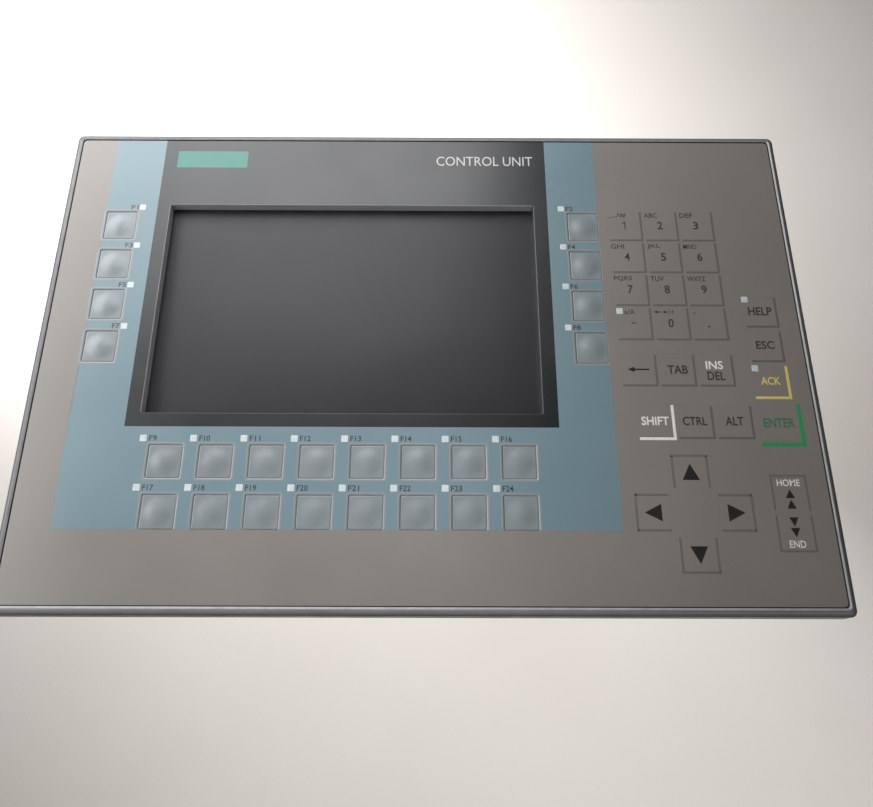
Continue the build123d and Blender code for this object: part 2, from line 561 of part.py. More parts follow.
def cover_lip():
    """Wall that locates the cover in the housing, left out at the screw bosses and the connectors."""
    width = HOUSING_WIDTH - 2 * (HOUSING_WALL + COVER_LIP_GAP)
    height = HOUSING_HEIGHT - 2 * (HOUSING_WALL + COVER_LIP_GAP)
    top = HOUSING_BACK + COVER_LIP_HEIGHT
    lip = slab(width, height, 1, HOUSING_BACK, top)
    lip -= slab(width - 2 * COVER_LIP_WALL, height - 2 * COVER_LIP_WALL, 0.4, HOUSING_BACK, top)
    clear = 2 * COVER_BOSS + 3
    for x, y in COVER_SCREWS:
        lip -= block((2 * clear, clear), x, y, HOUSING_BACK, top)
    for x, port_width, _ in port_blocks():
        lip -= block((port_width + 2, 12), x, -height / 2, HOUSING_BACK, top)
    return lip


def card_bay():
    """Cup behind the door, open to the rear, with the card's slot in its floor."""
    width, height, depth = CARD_BAY
    floor = COVER_BACK + depth
    outer = (width + 2 * BAY_WALL, height + 2 * BAY_WALL)
    bay = block(outer, CARD_X, CARD_Y, HOUSING_BACK, floor + BAY_WALL)
    bay -= block(CARD_BAY, CARD_X, CARD_Y, HOUSING_BACK, floor)
    return bay - block(CARD_SLOT, CARD_X, CARD_Y, floor, floor + BAY_WALL)


def earth_stud():
    base_back = COVER_BACK - STUD_BASE_HEIGHT
    stud = post(STUD_BASE_RADIUS, STUD_X, STUD_Y, base_back, COVER_BACK)
    return stud + post(STUD_RADIUS, STUD_X, STUD_Y, base_back - STUD_LENGTH, base_back)


HINGE_Y = CARD_Y + DOOR_SIZE[1] / 2
HINGE_Z = COVER_BACK - DOOR_LIFT - HINGE_RADIUS


def along_x(radius, length, x):
    """A round bar along X on the door's hinge line."""
    return Pos(x, HINGE_Y, HINGE_Z) * Rot(0, 90, 0) * Cylinder(radius, length)


def hinge_ear(side):
    x = CARD_X + side * (DOOR_SIZE[0] / 2 + EAR_GAP + EAR_WIDTH / 2)
    ear = along_x(HINGE_RADIUS + 0.6, EAR_WIDTH, x)
    ear += block((EAR_WIDTH, 2 * HINGE_RADIUS + 1.2), x, HINGE_Y, HINGE_Z, COVER_BACK)
    return ear - along_x(PIN_HOLE, EAR_WIDTH, x)


def card_door():
    """Flap over the card bay: hinge barrel with stub pins, plate, and a finger tab at the free edge."""
    width, height, thickness = DOOR_SIZE
    face = COVER_BACK - DOOR_LIFT
    door = along_x(HINGE_RADIUS, width, CARD_X)
    door += along_x(PIN_RADIUS, width + 2 * (EAR_GAP + EAR_WIDTH), CARD_X)
    door += block((width, height), CARD_X, HINGE_Y - height / 2, face - thickness, face)
    tab_width, tab_height, tab_rise = DOOR_TAB
    tab_y = HINGE_Y - height + tab_height / 2
    door += block((tab_width, tab_height), CARD_X, tab_y, face - thickness - tab_rise, face - thickness)
    return door


# ---- Connectors ----


def port_body(x, size, mouth):
    """A connector shell on the mainboard's back, open downwards through the housing wall."""
    width, depth, height = size
    low = MAINBOARD_BACK - height
    y = -HOUSING_HEIGHT / 2 + depth / 2
    shell = block((width, depth), x, y, low, MAINBOARD_BACK)
    mouth_width, mouth_depth, mouth_height = mouth
    middle = (low + MAINBOARD_BACK) / 2
    mouth_y = -HOUSING_HEIGHT / 2 + mouth_depth / 2
    return shell - Pos(x, mouth_y, middle) * Box(mouth_width, mouth_depth, mouth_height)


def serial_port():
    """Nine-way D-shaped socket: flange, shell with pin holes, and two jack posts."""
    middle = MAINBOARD_BACK - SERIAL_FLANGE[1] / 2
    face = -HOUSING_HEIGHT / 2
    width, height = SERIAL_FLANGE
    port = Pos(SERIAL_X, face + SERIAL_DEPTH / 2, middle) * Box(width, SERIAL_DEPTH, height)
    half_width, half_height = SERIAL_SHELL[0] / 2, SERIAL_SHELL[1] / 2
    outline = Polyline(
        (-half_width + SERIAL_SLOPE, -half_height),
        (half_width - SERIAL_SLOPE, -half_height),
        (half_width, half_height),
        (-half_width, half_height),
        close=True,
    )
    section = Plane(origin=(SERIAL_X, face, middle), x_dir=(1, 0, 0), z_dir=(0, -1, 0)) * make_face(outline)
    shell = extrude(section, SERIAL_PROUD)
    for row, count in ((-PIN_ROW, 4), (PIN_ROW, 5)):
        for index in range(count):
            pin_x = SERIAL_X + (index - (count - 1) / 2) * PIN_PITCH
            hole = Pos(pin_x, face - SERIAL_PROUD / 2, middle + row) * Rot(90, 0, 0)
            shell -= hole * Cylinder(PIN_BORE, SERIAL_PROUD)
    port += shell
    for side in (-1, 1):
        place = Pos(SERIAL_X + side * JACK_SPACING / 2, face - JACK_HEIGHT / 2, middle) * Rot(90, 0, 0)
        port += place * Cylinder(JACK_POST, JACK_HEIGHT)
    return port


def data_ports():
    lan = [port_body(x, LAN_SIZE, LAN_MOUTH) for x in LAN_X]
    usb = [port_body(x, USB_SIZE, USB_MOUTH) for x in USB_X]
    return [*lan, *usb, serial_port()]


def power_terminal():
    """Three-way screw terminal for the 24 V supply: wire entries below, clamp screws on the rear face."""
    width = POWER_POLES * POWER_PITCH + 2
    face = -HOUSING_HEIGHT / 2
    low = MAINBOARD_BACK - POWER_HEIGHT
    body = block((width, POWER_DEPTH), POWER_X, face + POWER_DEPTH / 2, low, MAINBOARD_BACK)
    screws = []
    for index in range(POWER_POLES):
        x = POWER_X + (index - (POWER_POLES - 1) / 2) * POWER_PITCH
        entry = Pos(x, face + WIRE_ENTRY_DEPTH / 2, MAINBOARD_BACK - WIRE_LINE)
        body -= entry * Box(WIRE_ENTRY, WIRE_ENTRY_DEPTH, WIRE_ENTRY)
        y = face + TERMINAL_SCREW_LINE
        head = low + TERMINAL_SCREW_SUNK
        seat = head + TERMINAL_SCREW_HEIGHT
        body -= post(TERMINAL_SCREW_HOLE, x, y, low, seat)
        screw = post(TERMINAL_SCREW, x, y, head, seat)
        screws.append(screw - block(TERMINAL_SLOT, x, y, head, head + TERMINAL_SLOT[2]))
    return [body, *screws]


# ---- Clips and screws ----


def mounting_clip():
    """Clip drawn for the top wall: foot on the wall, hook in its window, and a lug for the clamp screw."""
    foot_middle = (CLIP_FRONT + CLIP_REAR) / 2
    clip = Pos(0, CLIP_BASE / 2, foot_middle) * Box(CLIP_WIDTH, CLIP_BASE, CLIP_FRONT - CLIP_REAR)
    lug_middle = (LUG_FRONT + LUG_REAR) / 2
    clip += Pos(0, LUG_REACH / 2, lug_middle) * Box(CLIP_WIDTH, LUG_REACH, LUG_FRONT - LUG_REAR)
    hook_middle = (HOOK_FRONT + HOOK_REAR) / 2
    clip += Pos(0, -HOOK_DEPTH / 2, hook_middle) * Box(CLIP_WIDTH - 4, HOOK_DEPTH, HOOK_FRONT - HOOK_REAR)
    lug_edges = clip.edges().filter_by(Axis.Z).sort_by(Axis.Y)[-2:]
    clip = fillet(lug_edges, 3)
    return clip - post(CLAMP_BORE, 0, CLAMP_LINE, LUG_REAR, LUG_FRONT)


def clamp_screw():
    """Set screw with a chamfered tip towards the door sheet and a hexagon socket behind."""
    screw = post(CLAMP_RADIUS, 0, CLAMP_LINE, CLAMP_TAIL, CLAMP_TIP)
    screw = chamfer(screw.edges().sort_by(Axis.Z)[-1], 0.5)
    socket = Pos(0, CLAMP_LINE, CLAMP_TAIL) * RegularPolygon(HEX_KEY, 6, major_radius=False)
    return screw - extrude(socket, HEX_DEPTH)


def countersunk_screw(x, y):
    """Flush screw that clamps the housing's flange to the frame."""
    head = Pos(x, y, COUNTERSUNK_DEPTH / 2) * Cone(COUNTERSUNK_HEAD, M3_SHANK, COUNTERSUNK_DEPTH)
    screw = head + post(M3_SHANK, x, y, COUNTERSUNK_DEPTH, WEB_BACK - 0.5)
    return screw - drive_recess(x, y, 0)


def cover_screw(x, y):
    head = post(PAN_HEAD, x, y, COVER_BACK - PAN_HEIGHT, COVER_BACK)
    head = fillet(head.edges().sort_by(Axis.Z)[0], 0.9)
    screw = head + post(M3_SHANK, x, y, COVER_BACK, HOUSING_BACK + 8)
    return screw - drive_recess(x, y, COVER_BACK - PAN_HEIGHT)


def drive_recess(x, y, head_top):
    """Six-lobed drive, drawn as a hexagon, sunk from the head's outer face."""
    outline = Pos(x, y, head_top) * RegularPolygon(DRIVE_RADIUS, 6)
    return extrude(outline, DRIVE_DEPTH)


def main():
    os.makedirs("parts", exist_ok=True)
    save("front_frame", front_frame())
    save("front_foil", front_foil())
    save("mounting_seal", mounting_seal())
    save("display_window", display_window())
    save("display_module", *display_module())
    save("key_circuit_board", *key_circuit_board())
    save("chassis_plate", chassis_plate())
    save("mainboard", *mainboard())
    save("rear_housing", rear_housing())
    save("rear_cover", *rear_cover())
    save("card_door", card_door())
    save("data_ports", *data_ports())
    save("power_terminal", *power_terminal())
    save("mounting_clips", *at_walls(mounting_clip()))
    save("clamp_screws", *at_walls(clamp_screw()))
    flush_screws = [countersunk_screw(x, y) for x, y in FRAME_SCREWS]
    save("housing_screws", *flush_screws, *[cover_screw(x, y) for x, y in COVER_SCREWS])
    for name, caps in KEYS.items():
        save(name, key_piece(caps))


main()
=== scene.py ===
"""Looks of a key-operated operator panel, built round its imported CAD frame.

Sizes are in millimetres in the plan of the front: x to the right, y up and z out of the front, with z = 0
on the face that seals against the door. TO_ROW turns them into the shared frame's metres. Materials, lights
and the camera are placed in the shared frame's metres, in which the front faces -Y and +Z is up.
"""

import math

import bmesh
import bpy
from mathutils import Matrix, Vector


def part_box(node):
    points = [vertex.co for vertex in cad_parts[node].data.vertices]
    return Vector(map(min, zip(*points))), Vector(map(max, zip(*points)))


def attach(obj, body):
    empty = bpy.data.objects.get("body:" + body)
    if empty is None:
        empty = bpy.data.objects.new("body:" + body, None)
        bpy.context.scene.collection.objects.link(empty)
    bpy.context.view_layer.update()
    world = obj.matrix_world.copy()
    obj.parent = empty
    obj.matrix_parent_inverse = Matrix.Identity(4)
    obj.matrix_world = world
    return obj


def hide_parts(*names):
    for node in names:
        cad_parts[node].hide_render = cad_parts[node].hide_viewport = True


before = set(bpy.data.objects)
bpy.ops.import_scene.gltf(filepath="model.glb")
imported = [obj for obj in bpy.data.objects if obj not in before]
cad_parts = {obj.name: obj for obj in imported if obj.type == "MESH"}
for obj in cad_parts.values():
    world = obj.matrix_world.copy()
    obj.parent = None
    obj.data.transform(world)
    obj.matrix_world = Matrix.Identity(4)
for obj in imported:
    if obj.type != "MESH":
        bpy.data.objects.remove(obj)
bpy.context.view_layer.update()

TO_ROW = Matrix.Scale(0.001, 4) @ Matrix.Rotation(math.radians(90), 4, "X")

# ---- Sizes that follow the CAD model, in millimetres ----
FOIL_FACE, FOIL_BACK = 8.0, 7.5
FOIL_HALF_WIDTH, FOIL_HALF_HEIGHT, FOIL_CORNER = 151.0, 99.0, 1.5
CAP_BACK, COLLAR_BACK, STEM_TIP = 5.4, 4.9, 4.6
COLLAR_LIP = 0.4
STEM_RADIUS = 2.0
KEY_CORNER = 0.5
NOTCH = 3.6
SEAM = 0.02  # drawn joint between a key and the foil
PAD_CAP = 13.8
OPENING = (-108.8, 46.3, -27.6, 66.1)  # left, right, bottom, top
LIT_AREA = (-105.2, 45.3, -26.2, 62.7)
WINDOW_REAR = 3.2
COVER_BACK = -52.0
RECESS_CORNER = 0.6
USB_PORTS_X, USB_MIDDLE_Z = (-58.0, -38.0), -35.2
LAN_PORTS_X, LAN_CONTACTS_Z = (44.0, 64.0), -37.6
USB_TONGUE_Y, USB_STRIPS_Y, LAN_WIRES_Y = -80.0, -80.4, -80.2

# ---- Printed fields of the foil ----
BLUE_FIELD = (-135.8, 73.6, -72.35, 99.0)
DARK_FIELD = (-114.3, 52.2, -33.1, 99.0)

# ---- Heights over which one look passes into the next ----
SIDE_TO_SLOPE, SLOPE_TO_CREST, LEAN_BEGINS = (7.0, 7.8), (8.16, 8.27), (7.9, 8.05)
GLASS_TO_TRAY, TRAY_TO_BOARD, BOARD_TO_PARTS = (0.5, 0.0), (-5.4, -5.6), (-31.7, -31.9)
RIM_LEAN, RIM_RUN = 0.7, 0.3  # how far the rim's normals lean inwards, and over what run outside the foil

# ---- Indicator windows ----
LAMP_SIZE = 2.6
SIDE_LAMPS_X, SIDE_LAMPS_TOP, SIDE_PITCH = (-120.5, 58.1), 64.6, 18.55
ROW_LAMPS_X, ROW_LAMPS_Y, ROW_PITCH = -106.35, (-37.8, -56.85), 19.14
PAD_LAMPS = ((79.3, 16.4), (130.7, 21.8), (130.7, -8.4))

F_KEYS = [f"key_f{number}" for number in range(1, 25)]
PAD_ROWS = ("keys_1_2_3", "keys_4_5_6", "keys_7_8_9", "keys_sign_0_point")
NOTCHED = ("keys_sign_0_point", "key_help", "key_ack")


# ---- Materials ----


def linear(red, green, blue):
    """A display colour from 0 to 255, as the linear values that Blender works in."""
    values = []
    for part in (red, green, blue):
        part /= 255
        values.append(part / 12.92 if part <= 0.04045 else ((part + 0.055) / 1.055) ** 2.4)
    return (*values, 1.0)


class Finish:
    """A material's node tree, in the few node kinds used here. Positions are the row frame's metres."""

    def __init__(self, name):
        self.material = bpy.data.materials.new(name)
        self.material.use_nodes = True
        self.tree = self.material.node_tree
        self.shader = self.tree.nodes["Principled BSDF"]
        self.place = self.tree.nodes.new("ShaderNodeTexCoord").outputs["Object"]

    def link(self, value, socket):
        self.tree.links.new(value, socket)

    def noise(self, scale, detail=3.0, stretch=(1, 1, 1)):
        """Soft noise, about scale features in a metre, drawn out along the axes that stretch shortens."""
        mapping = self.tree.nodes.new("ShaderNodeMapping")
        mapping.inputs["Scale"].default_value = stretch
        self.link(self.place, mapping.inputs["Vector"])
        noise = self.tree.nodes.new("ShaderNodeTexNoise")
        noise.inputs["Scale"].default_value = scale
        noise.inputs["Detail"].default_value = detail
        self.link(mapping.outputs["Vector"], noise.inputs["Vector"])
        return noise.outputs["Fac"]

    def specks(self, scale, size):
        """Small scattered spots, 1 inside a spot and 0 outside."""
        cells = self.tree.nodes.new("ShaderNodeTexVoronoi")
        cells.inputs["Scale"].default_value = scale
        self.link(self.place, cells.inputs["Vector"])
        return self.ranged(cells.outputs["Distance"], size * 0.6, size, 1, 0)

    def ranged(self, value, low, high, to_low=0.0, to_high=1.0):
        mapped = self.tree.nodes.new("ShaderNodeMapRange")
        names = ("From Min", "From Max", "To Min", "To Max")
        for name, number in zip(names, (low, high, to_low, to_high)):
            mapped.inputs[name].default_value = number
        self.link(value, mapped.inputs["Value"])
        return mapped.outputs["Result"]

    def patches(self, scale, detail, low=0.35, high=0.65):
        """Noise with its contrast raised: 0 below its low value, 1 above its high one."""
        return self.ranged(self.noise(scale, detail), low, high)

    def axis(self, name):
        """Position along one of the shared frame's axes, in metres."""
        split = self.tree.nodes.new("ShaderNodeSeparateXYZ")
        self.link(self.place, split.inputs["Vector"])
        return split.outputs[name]

    def passing(self, first, second):
        """0 before the first of two heights in the plan's millimetres, and 1 past the second."""
        return self.ranged(self.axis("Y"), -first / 1000, -second / 1000)

    def math(self, operation, first, second):
        """Sum, product or the like of two values, each a number or another node's output."""
        node = self.tree.nodes.new("ShaderNodeMath")
        node.operation = operation
        for socket, value in zip(node.inputs, (first, second)):
            if isinstance(value, (int, float)):
                socket.default_value = value
            else:
                self.link(value, socket)
        return node.outputs[0]

    def mix(self, factor, first, second):
        """A colour between two, each a display colour from 0 to 255 or another node's output."""
        node = self.tree.nodes.new("ShaderNodeMix")
        node.data_type = "RGBA"
        self.link(factor, node.inputs["Factor"])
        for socket, value in ((node.inputs[6], first), (node.inputs[7], second)):
            if isinstance(value, tuple):
                socket.default_value = linear(*value)
            else:
                self.link(value, socket)
        return node.outputs[2]

    def colour(self, value):
        self.link(value, self.shader.inputs["Base Color"])

    def roughness(self, value, low, high):
        """Roughness that wanders between two values as the given noise does."""
        self.link(self.ranged(value, 0.3, 0.7, low, high), self.shader.inputs["Roughness"])

    def bump(self, height, depth, below=None):
        """Relief of the given depth in metres, on the surface's own normals or on given ones."""
        node = self.tree.nodes.new("ShaderNodeBump")
        node.inputs["Distance"].default_value = depth
        self.link(height, node.inputs["Height"])
        if below is not None:
            self.link(below, node.inputs["Normal"])
        self.link(node.outputs["Normal"], self.shader.inputs["Normal"])

    def set(self, **values):
        """Uniform values of the shader's sockets, by their names in small letters."""
        for name, value in values.items():
            self.shader.inputs[name.replace("_", " ").title().replace("Ior", "IOR")].default_value = value


POLYESTER = 1.62  # refractive index
FILM_GRAIN = 2600  # features of the foil's surface in a metre
DUST_SIZE, DUST_LIGHTER = 0.06, 26
BARE_FOIL, THINNING = 118, 0.12  # grey that shows through thin ink, and how much of it


def printed(name, base, worn):
    """Printed polyester: fine grain, faint mottling and a little dust."""
    look = Finish(name)
    tone = look.mix(look.patches(16, 5), base, worn)
    dust = look.math("MULTIPLY", look.specks(260, DUST_SIZE), look.patches(30, 2, 0.5, 0.62))
    look.colour(look.mix(dust, tone, tuple(min(255, part + DUST_LIGHTER) for part in base)))
    look.roughness(look.noise(55, 4), 0.32, 0.38)
    look.bump(look.noise(FILM_GRAIN, 2), 0.000012)
    look.set(ior=POLYESTER)
    return look.material


def ink(name, base, roughness=0.45):
    """Screen-printed ink, slightly uneven in strength."""
    look = Finish(name)
    thin = tuple(part + (BARE_FOIL - part) * THINNING for part in base)
    look.colour(look.mix(look.patches(900, 3, 0.4, 0.75), base, thin))
    look.roughness(look.noise(400, 2), roughness - 0.05, roughness + 0.05)
    look.bump(look.noise(FILM_GRAIN, 2), 0.000006)
    return look.material


def metal(name, base, shade, low, high, grain, depth, stretch=(1, 1, 1)):
    """Bare or plated metal, brushed where the grain is stretched, with stains the size of a fingertip."""
    look = Finish(name)
    look.set(metallic=0.9)
    look.colour(look.mix(look.patches(60, 5, 0.35, 0.7), base, shade))
    look.roughness(look.noise(120, 4), low, high)
    look.bump(look.noise(grain, 3, stretch), depth)
    return look.material


def moulded(name, base, shade, low, high, grain=1500, depth=0.00003):
    """Moulded plastic or rubber with a fine eroded texture."""
    look = Finish(name)
    look.colour(look.mix(look.patches(40, 5, 0.35, 0.7), base, shade))
    look.roughness(look.noise(90, 3), low, high)
    look.bump(look.noise(grain, 4), depth)
    return look.material


def frame_paint():
    """Satin grey paint on a casting; its colour holds painted shade on the outer side, painted light on the
    rim's slope and a painted highlight along its crest.
    """
    look = Finish("frame_paint")
    # Painted shade on the outer side and painted light on the slope, changing with height.
    side = look.mix(look.patches(25, 5, 0.35, 0.7), (58, 57, 60), (52, 51, 54))
    lit_slope = look.mix(look.patches(40, 4, 0.35, 0.7), (132, 131, 134), (122, 121, 124))
    tone = look.mix(look.passing(*SIDE_TO_SLOPE), side, lit_slope)
    # Painted highlight along the crest, broken up by noise.
    highlight_breakup = look.ranged(look.noise(220, 3), 0.3, 0.6, 0.4, 1.0)
    crest_highlight = look.math("MULTIPLY", look.passing(*SLOPE_TO_CREST), highlight_breakup)
    look.colour(look.mix(crest_highlight, tone, (158, 158, 160)))
    look.roughness(look.noise(120, 3), 0.34, 0.46)
    look.bump(look.noise(1800, 3), 0.00002, leaning_in(look))
    return look.material


def leaning_in(look):
    """Normals of the rim's top, rounded towards the foil on all four sides."""
    crest = look.passing(*LEAN_BEGINS)
    lean = look.tree.nodes.new("ShaderNodeCombineXYZ")
    run = RIM_RUN / 1000
    for name, half in (("X", FOIL_HALF_WIDTH / 1000), ("Z", FOIL_HALF_HEIGHT / 1000)):
        low = look.ranged(look.axis(name), -half - run, -half, RIM_LEAN, 0)
        high = look.ranged(look.axis(name), half, half + run, 0, RIM_LEAN)
        look.link(look.math("MULTIPLY", look.math("SUBTRACT", low, high), crest), lean.inputs[name])
    total = look.tree.nodes.new("ShaderNodeVectorMath")
    look.link(look.tree.nodes.new("ShaderNodeNewGeometry").outputs["Normal"], total.inputs[0])
    look.link(lean.outputs["Vector"], total.inputs[1])
    unit = look.tree.nodes.new("ShaderNodeVectorMath")
    unit.operation = "NORMALIZE"
    look.link(total.outputs["Vector"], unit.inputs[0])
    return unit.outputs["Vector"]


def key_window():
    """Clear embossed window with a grey insert behind it."""
    look = Finish("key_window")
    look.colour(look.mix(look.patches(120, 3), (126, 134, 137), (120, 128, 131)))
    look.roughness(look.noise(150, 3), 0.3, 0.36)
    look.bump(look.noise(FILM_GRAIN, 2), 0.000008)
    look.set(coat_weight=0.25, coat_roughness=0.25)
    return look.material


def indicator():
    """Milky white light window, unlit."""
    look = Finish("indicator_window")
    look.colour(look.mix(look.patches(700, 2, 0.35, 0.7), (196, 202, 206), (184, 191, 196)))
    look.roughness(look.noise(500, 2), 0.3, 0.42)
    look.bump(look.noise(FILM_GRAIN, 2), 0.000006)
    return look.material


def clear_window():
    """Clear window over the screen, faintly smoked."""
    look = Finish("window")
    look.colour(look.mix(look.patches(20, 4), (62, 64, 68), (50, 52, 56)))
    look.roughness(look.noise(45, 5), 0.34, 0.4)
    look.set(alpha=0.16)
    return look.material


def screen_stack():
    """The display module: black glass edge in front, plated tray and green driver board behind."""
    look = Finish("screen")
    front = look.mix(look.passing(*GLASS_TO_TRAY), (26, 26, 28), (150, 150, 148))
    look.colour(look.mix(look.passing(*TRAY_TO_BOARD), front, (32, 84, 52)))
    look.roughness(look.noise(80, 3), 0.3, 0.45)
    look.bump(look.noise(900, 2), 0.00001)
    look.set(specular_ior_level=0.2)
    return look.material


def lit_area():
    """Unlit liquid crystal area, faintly clouded."""
    look = Finish("screen_area")
    look.colour(look.mix(look.patches(14, 3), (36, 36, 40), (31, 31, 35)))
    look.roughness(look.noise(60, 3), 0.4, 0.45)
    return look.material


def border_black():
    """Black border printed behind the window, round the liquid crystal area; its black is lightened to a
    dark grey as a painted reflection of the window's sheen.
    """
    look = Finish("window_border")
    look.colour(look.mix(look.patches(60, 3), (58, 58, 61), (52, 52, 55)))
    look.roughness(look.noise(80, 3), 0.42, 0.5)
    look.set(specular_ior_level=0.3)
    return look.material


def board_green():
    """Solder mask on the boards, with dark packages and plated parts behind the mainboard."""
    look = Finish("circuit_board")
    mask = look.mix(look.patches(300, 6, 0.4, 0.6), (24, 92, 54), (18, 70, 44))
    parts = look.mix(look.patches(60, 1, 0.45, 0.55), (34, 34, 36), (150, 152, 150))
    look.colour(look.mix(look.passing(*BOARD_TO_PARTS), mask, parts))
    look.roughness(look.noise(200, 3), 0.35, 0.5)
    look.bump(look.noise(1200, 3), 0.00003)
    return look.material


GREY = printed("foil_grey", (128, 123, 118), (122, 118, 113))
BLUE = printed("foil_blue", (109, 131, 140), (104, 126, 135))
DARK = printed("foil_dark", (28, 31, 34), (25, 28, 31))
BARE = printed("foil_bare", (130, 135, 138), (124, 129, 132))  # unprinted edge round the clear windows
WINDOW = key_window()
LAMP = indicator()
INK_DARK = ink("ink_dark", (52, 50, 50))
INK_BLACK = ink("ink_black", (34, 31, 31))
INK_WHITE = ink("ink_white", (226, 224, 222))
INK_LINE = ink("ink_line", (96, 94, 90))
INK_SOFT = ink("ink_soft", (104, 102, 98))
INK_PALE = ink("ink_pale", (190, 190, 190))
INK_YELLOW = ink("ink_yellow", (214, 194, 108))
INK_GREEN = ink("ink_green", (42, 146, 88))
INK_FOREST = ink("ink_forest", (56, 112, 84))
PLATE = ink("ink_plate", (66, 126, 116))
# The recess lining in two colours: painted light for its left and upper walls, painted shade for the
# others.
LINING_PAINTED_LIGHT = printed("recess_lining", (150, 150, 156), (140, 140, 146))
LINING_PAINTED_SHADE = printed("recess_lining_painted_shade", (62, 62, 66), (56, 56, 60))
# Painted shadow for the groove round the foil and the rim's inner wall.
GROOVE_PAINTED_SHADOW = ink("groove_painted_shadow", (24, 24, 25), 0.7)
LABEL = ink("label_paper", (206, 207, 203), 0.5)
GOLD = metal("gold_contacts", (212, 172, 92), (190, 150, 76), 0.25, 0.35, 1200, 0.000006)
TONGUE = moulded("tongue_plastic", (236, 236, 232), (222, 222, 218), 0.4, 0.5, 1500, 0.00001)

ALONG_X, ALONG_Z = (0.06, 1, 1), (1, 1, 0.1)  # directions in which sheet metal is brushed

NODE_MATERIALS = {
    "front_frame": frame_paint(),
    "display_window": clear_window(),
    "display_module": screen_stack(),
    "key_circuit_board": board_green(),
    "chassis_plate": metal(
        "sheet_steel", (186, 186, 182), (168, 168, 164), 0.32, 0.46, 900, 0.00002, ALONG_Z
    ),
    "mounting_seal": moulded("seal_rubber", (34, 34, 35), (44, 44, 44), 0.7, 0.85, 1200, 0.00004),
    "rear_housing": metal("housing_metal", (176, 177, 176), (160, 161, 160), 0.45, 0.58, 1500, 0.00004),
    "rear_cover": metal("cover_metal", (184, 185, 184), (168, 169, 168), 0.3, 0.44, 700, 0.00002, ALONG_X),
    "card_door": moulded("door_plastic", (44, 44, 46), (54, 54, 56), 0.5, 0.62),
    "data_ports": metal("port_metal", (200, 200, 196), (180, 180, 176), 0.3, 0.42, 600, 0.00001, ALONG_Z),
    "power_terminal": moulded("terminal_plastic", (30, 112, 62), (26, 98, 54), 0.42, 0.54, 1300, 0.00002),
    "mounting_clips": metal("clip_metal", (186, 186, 184), (160, 160, 158), 0.4, 0.55, 800, 0.00004),
    "clamp_screws": metal("screw_steel", (170, 170, 166), (140, 140, 136), 0.28, 0.42, 900, 0.00002),
}
NODE_MATERIALS["mainboard"] = NODE_MATERIALS["key_circuit_board"]
NODE_MATERIALS["housing_screws"] = NODE_MATERIALS["clamp_screws"]


def dress(node, material):
    """Gives a CAD node that stays on show its finished material."""
    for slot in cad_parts[node].material_slots:
        slot.link = "OBJECT"
        slot.material = material


# ---- Making pieces ----


def placed(name, data):
    """A new object in the scene, with the given mesh, curve, light or camera."""
    thing = bpy.data.objects.new(name, data)
    bpy.context.scene.collection.objects.link(thing)
    return thing


def made(work, name):
    """The mesh of a finished bmesh."""
    mesh = bpy.data.meshes.new(name)
    work.to_mesh(mesh)
    work.free()
    return mesh


def put(name, mesh, body, materials, smooth=False, replaces=()):
    """Turns a mesh drawn in the plan's millimetres into a piece that rides on a body."""
    mesh.transform(TO_ROW)
    mesh.name = name
    for material in materials:
        mesh.materials.append(material)
    mesh.polygons.foreach_set("use_smooth", [smooth] * len(mesh.polygons))
    mesh.update()
    piece = placed(name, mesh)
    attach(piece, body)
    if replaces:
        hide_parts(*replaces)


def joined(meshes):
    """One mesh from several, each with the material index that its faces take."""
    work = bmesh.new()
    for mesh, index in meshes:
        start = len(work.faces)
        work.from_mesh(mesh)
        work.faces.ensure_lookup_table()
        for face in work.faces[start:]:
            face.material_index = index
        bpy.data.meshes.remove(mesh)
    return made(work, "joined")


def flattened(curve_data):
    """The mesh of a curve or text, filled and extruded as its settings say."""
    holder = placed("holder", curve_data)
    bpy.context.view_layer.update()
    mesh = bpy.data.meshes.new_from_object(holder.evaluated_get(bpy.context.evaluated_depsgraph_get()))
    bpy.data.objects.remove(holder)
    return mesh


def sheet_shape(outlines, low, high):
    """A flat sheet with holes: the first outline is its edge and the others are cut out of it."""
    curve = bpy.data.curves.new("sheet", "CURVE")
    curve.dimensions = "2D"
    curve.fill_mode = "BOTH"
    curve.extrude = (high - low) / 2
    for outline in outlines:
        spline = curve.splines.new("POLY")
        spline.points.add(len(outline) - 1)
        for point, (x, y) in zip(spline.points, outline):
            point.co = (x, y, 0, 1)
        spline.use_cyclic_u = True
    mesh = flattened(curve)
    mesh.transform(Matrix.Translation((0, 0, (low + high) / 2)))
    return mesh


def corner_arc(x, y, radius, start, steps=5):
    """A quarter of a circle round x, y, anticlockwise from an angle in degrees."""
    angles = [math.radians(start + 90 * step / steps) for step in range(steps + 1)]
    return [(x + radius * math.cos(angle), y + radius * math.sin(angle)) for angle in angles]


def rounded(left, right, bottom, top, radius, steps=5):
    """Outline of a rounded rectangle, anticlockwise from its right side."""
    return (
        corner_arc(right - radius, top - radius, radius, 0, steps)
        + corner_arc(left + radius, top - radius, radius, 90, steps)
        + corner_arc(left + radius, bottom + radius, radius, 180, steps)
        + corner_arc(right - radius, bottom + radius, radius, 270, steps)
    )


SIDE_STEPS, CORNER_STEPS = 10, 4


def ringed(left, right, bottom, top, radius):
    """A rounded rectangle's outline with its straight sides divided too, for surfaces that bulge."""
    corners = rounded(left, right, bottom, top, radius, CORNER_STEPS)
    points = []
    for index, (x, y) in enumerate(corners):
        points.append((x, y))
        if index % (CORNER_STEPS + 1) == CORNER_STEPS:
            next_x, next_y = corners[(index + 1) % len(corners)]
            for step in range(1, SIDE_STEPS):
                share = step / SIDE_STEPS
                points.append((x + (next_x - x) * share, y + (next_y - y) * share))
    return points


def rectangle(left, right, bottom, top):
    return [(left, bottom), (right, bottom), (right, top), (left, top)]


def centred(x, y, width, height):
    return rectangle(x - width / 2, x + width / 2, y - height / 2, y + height / 2)


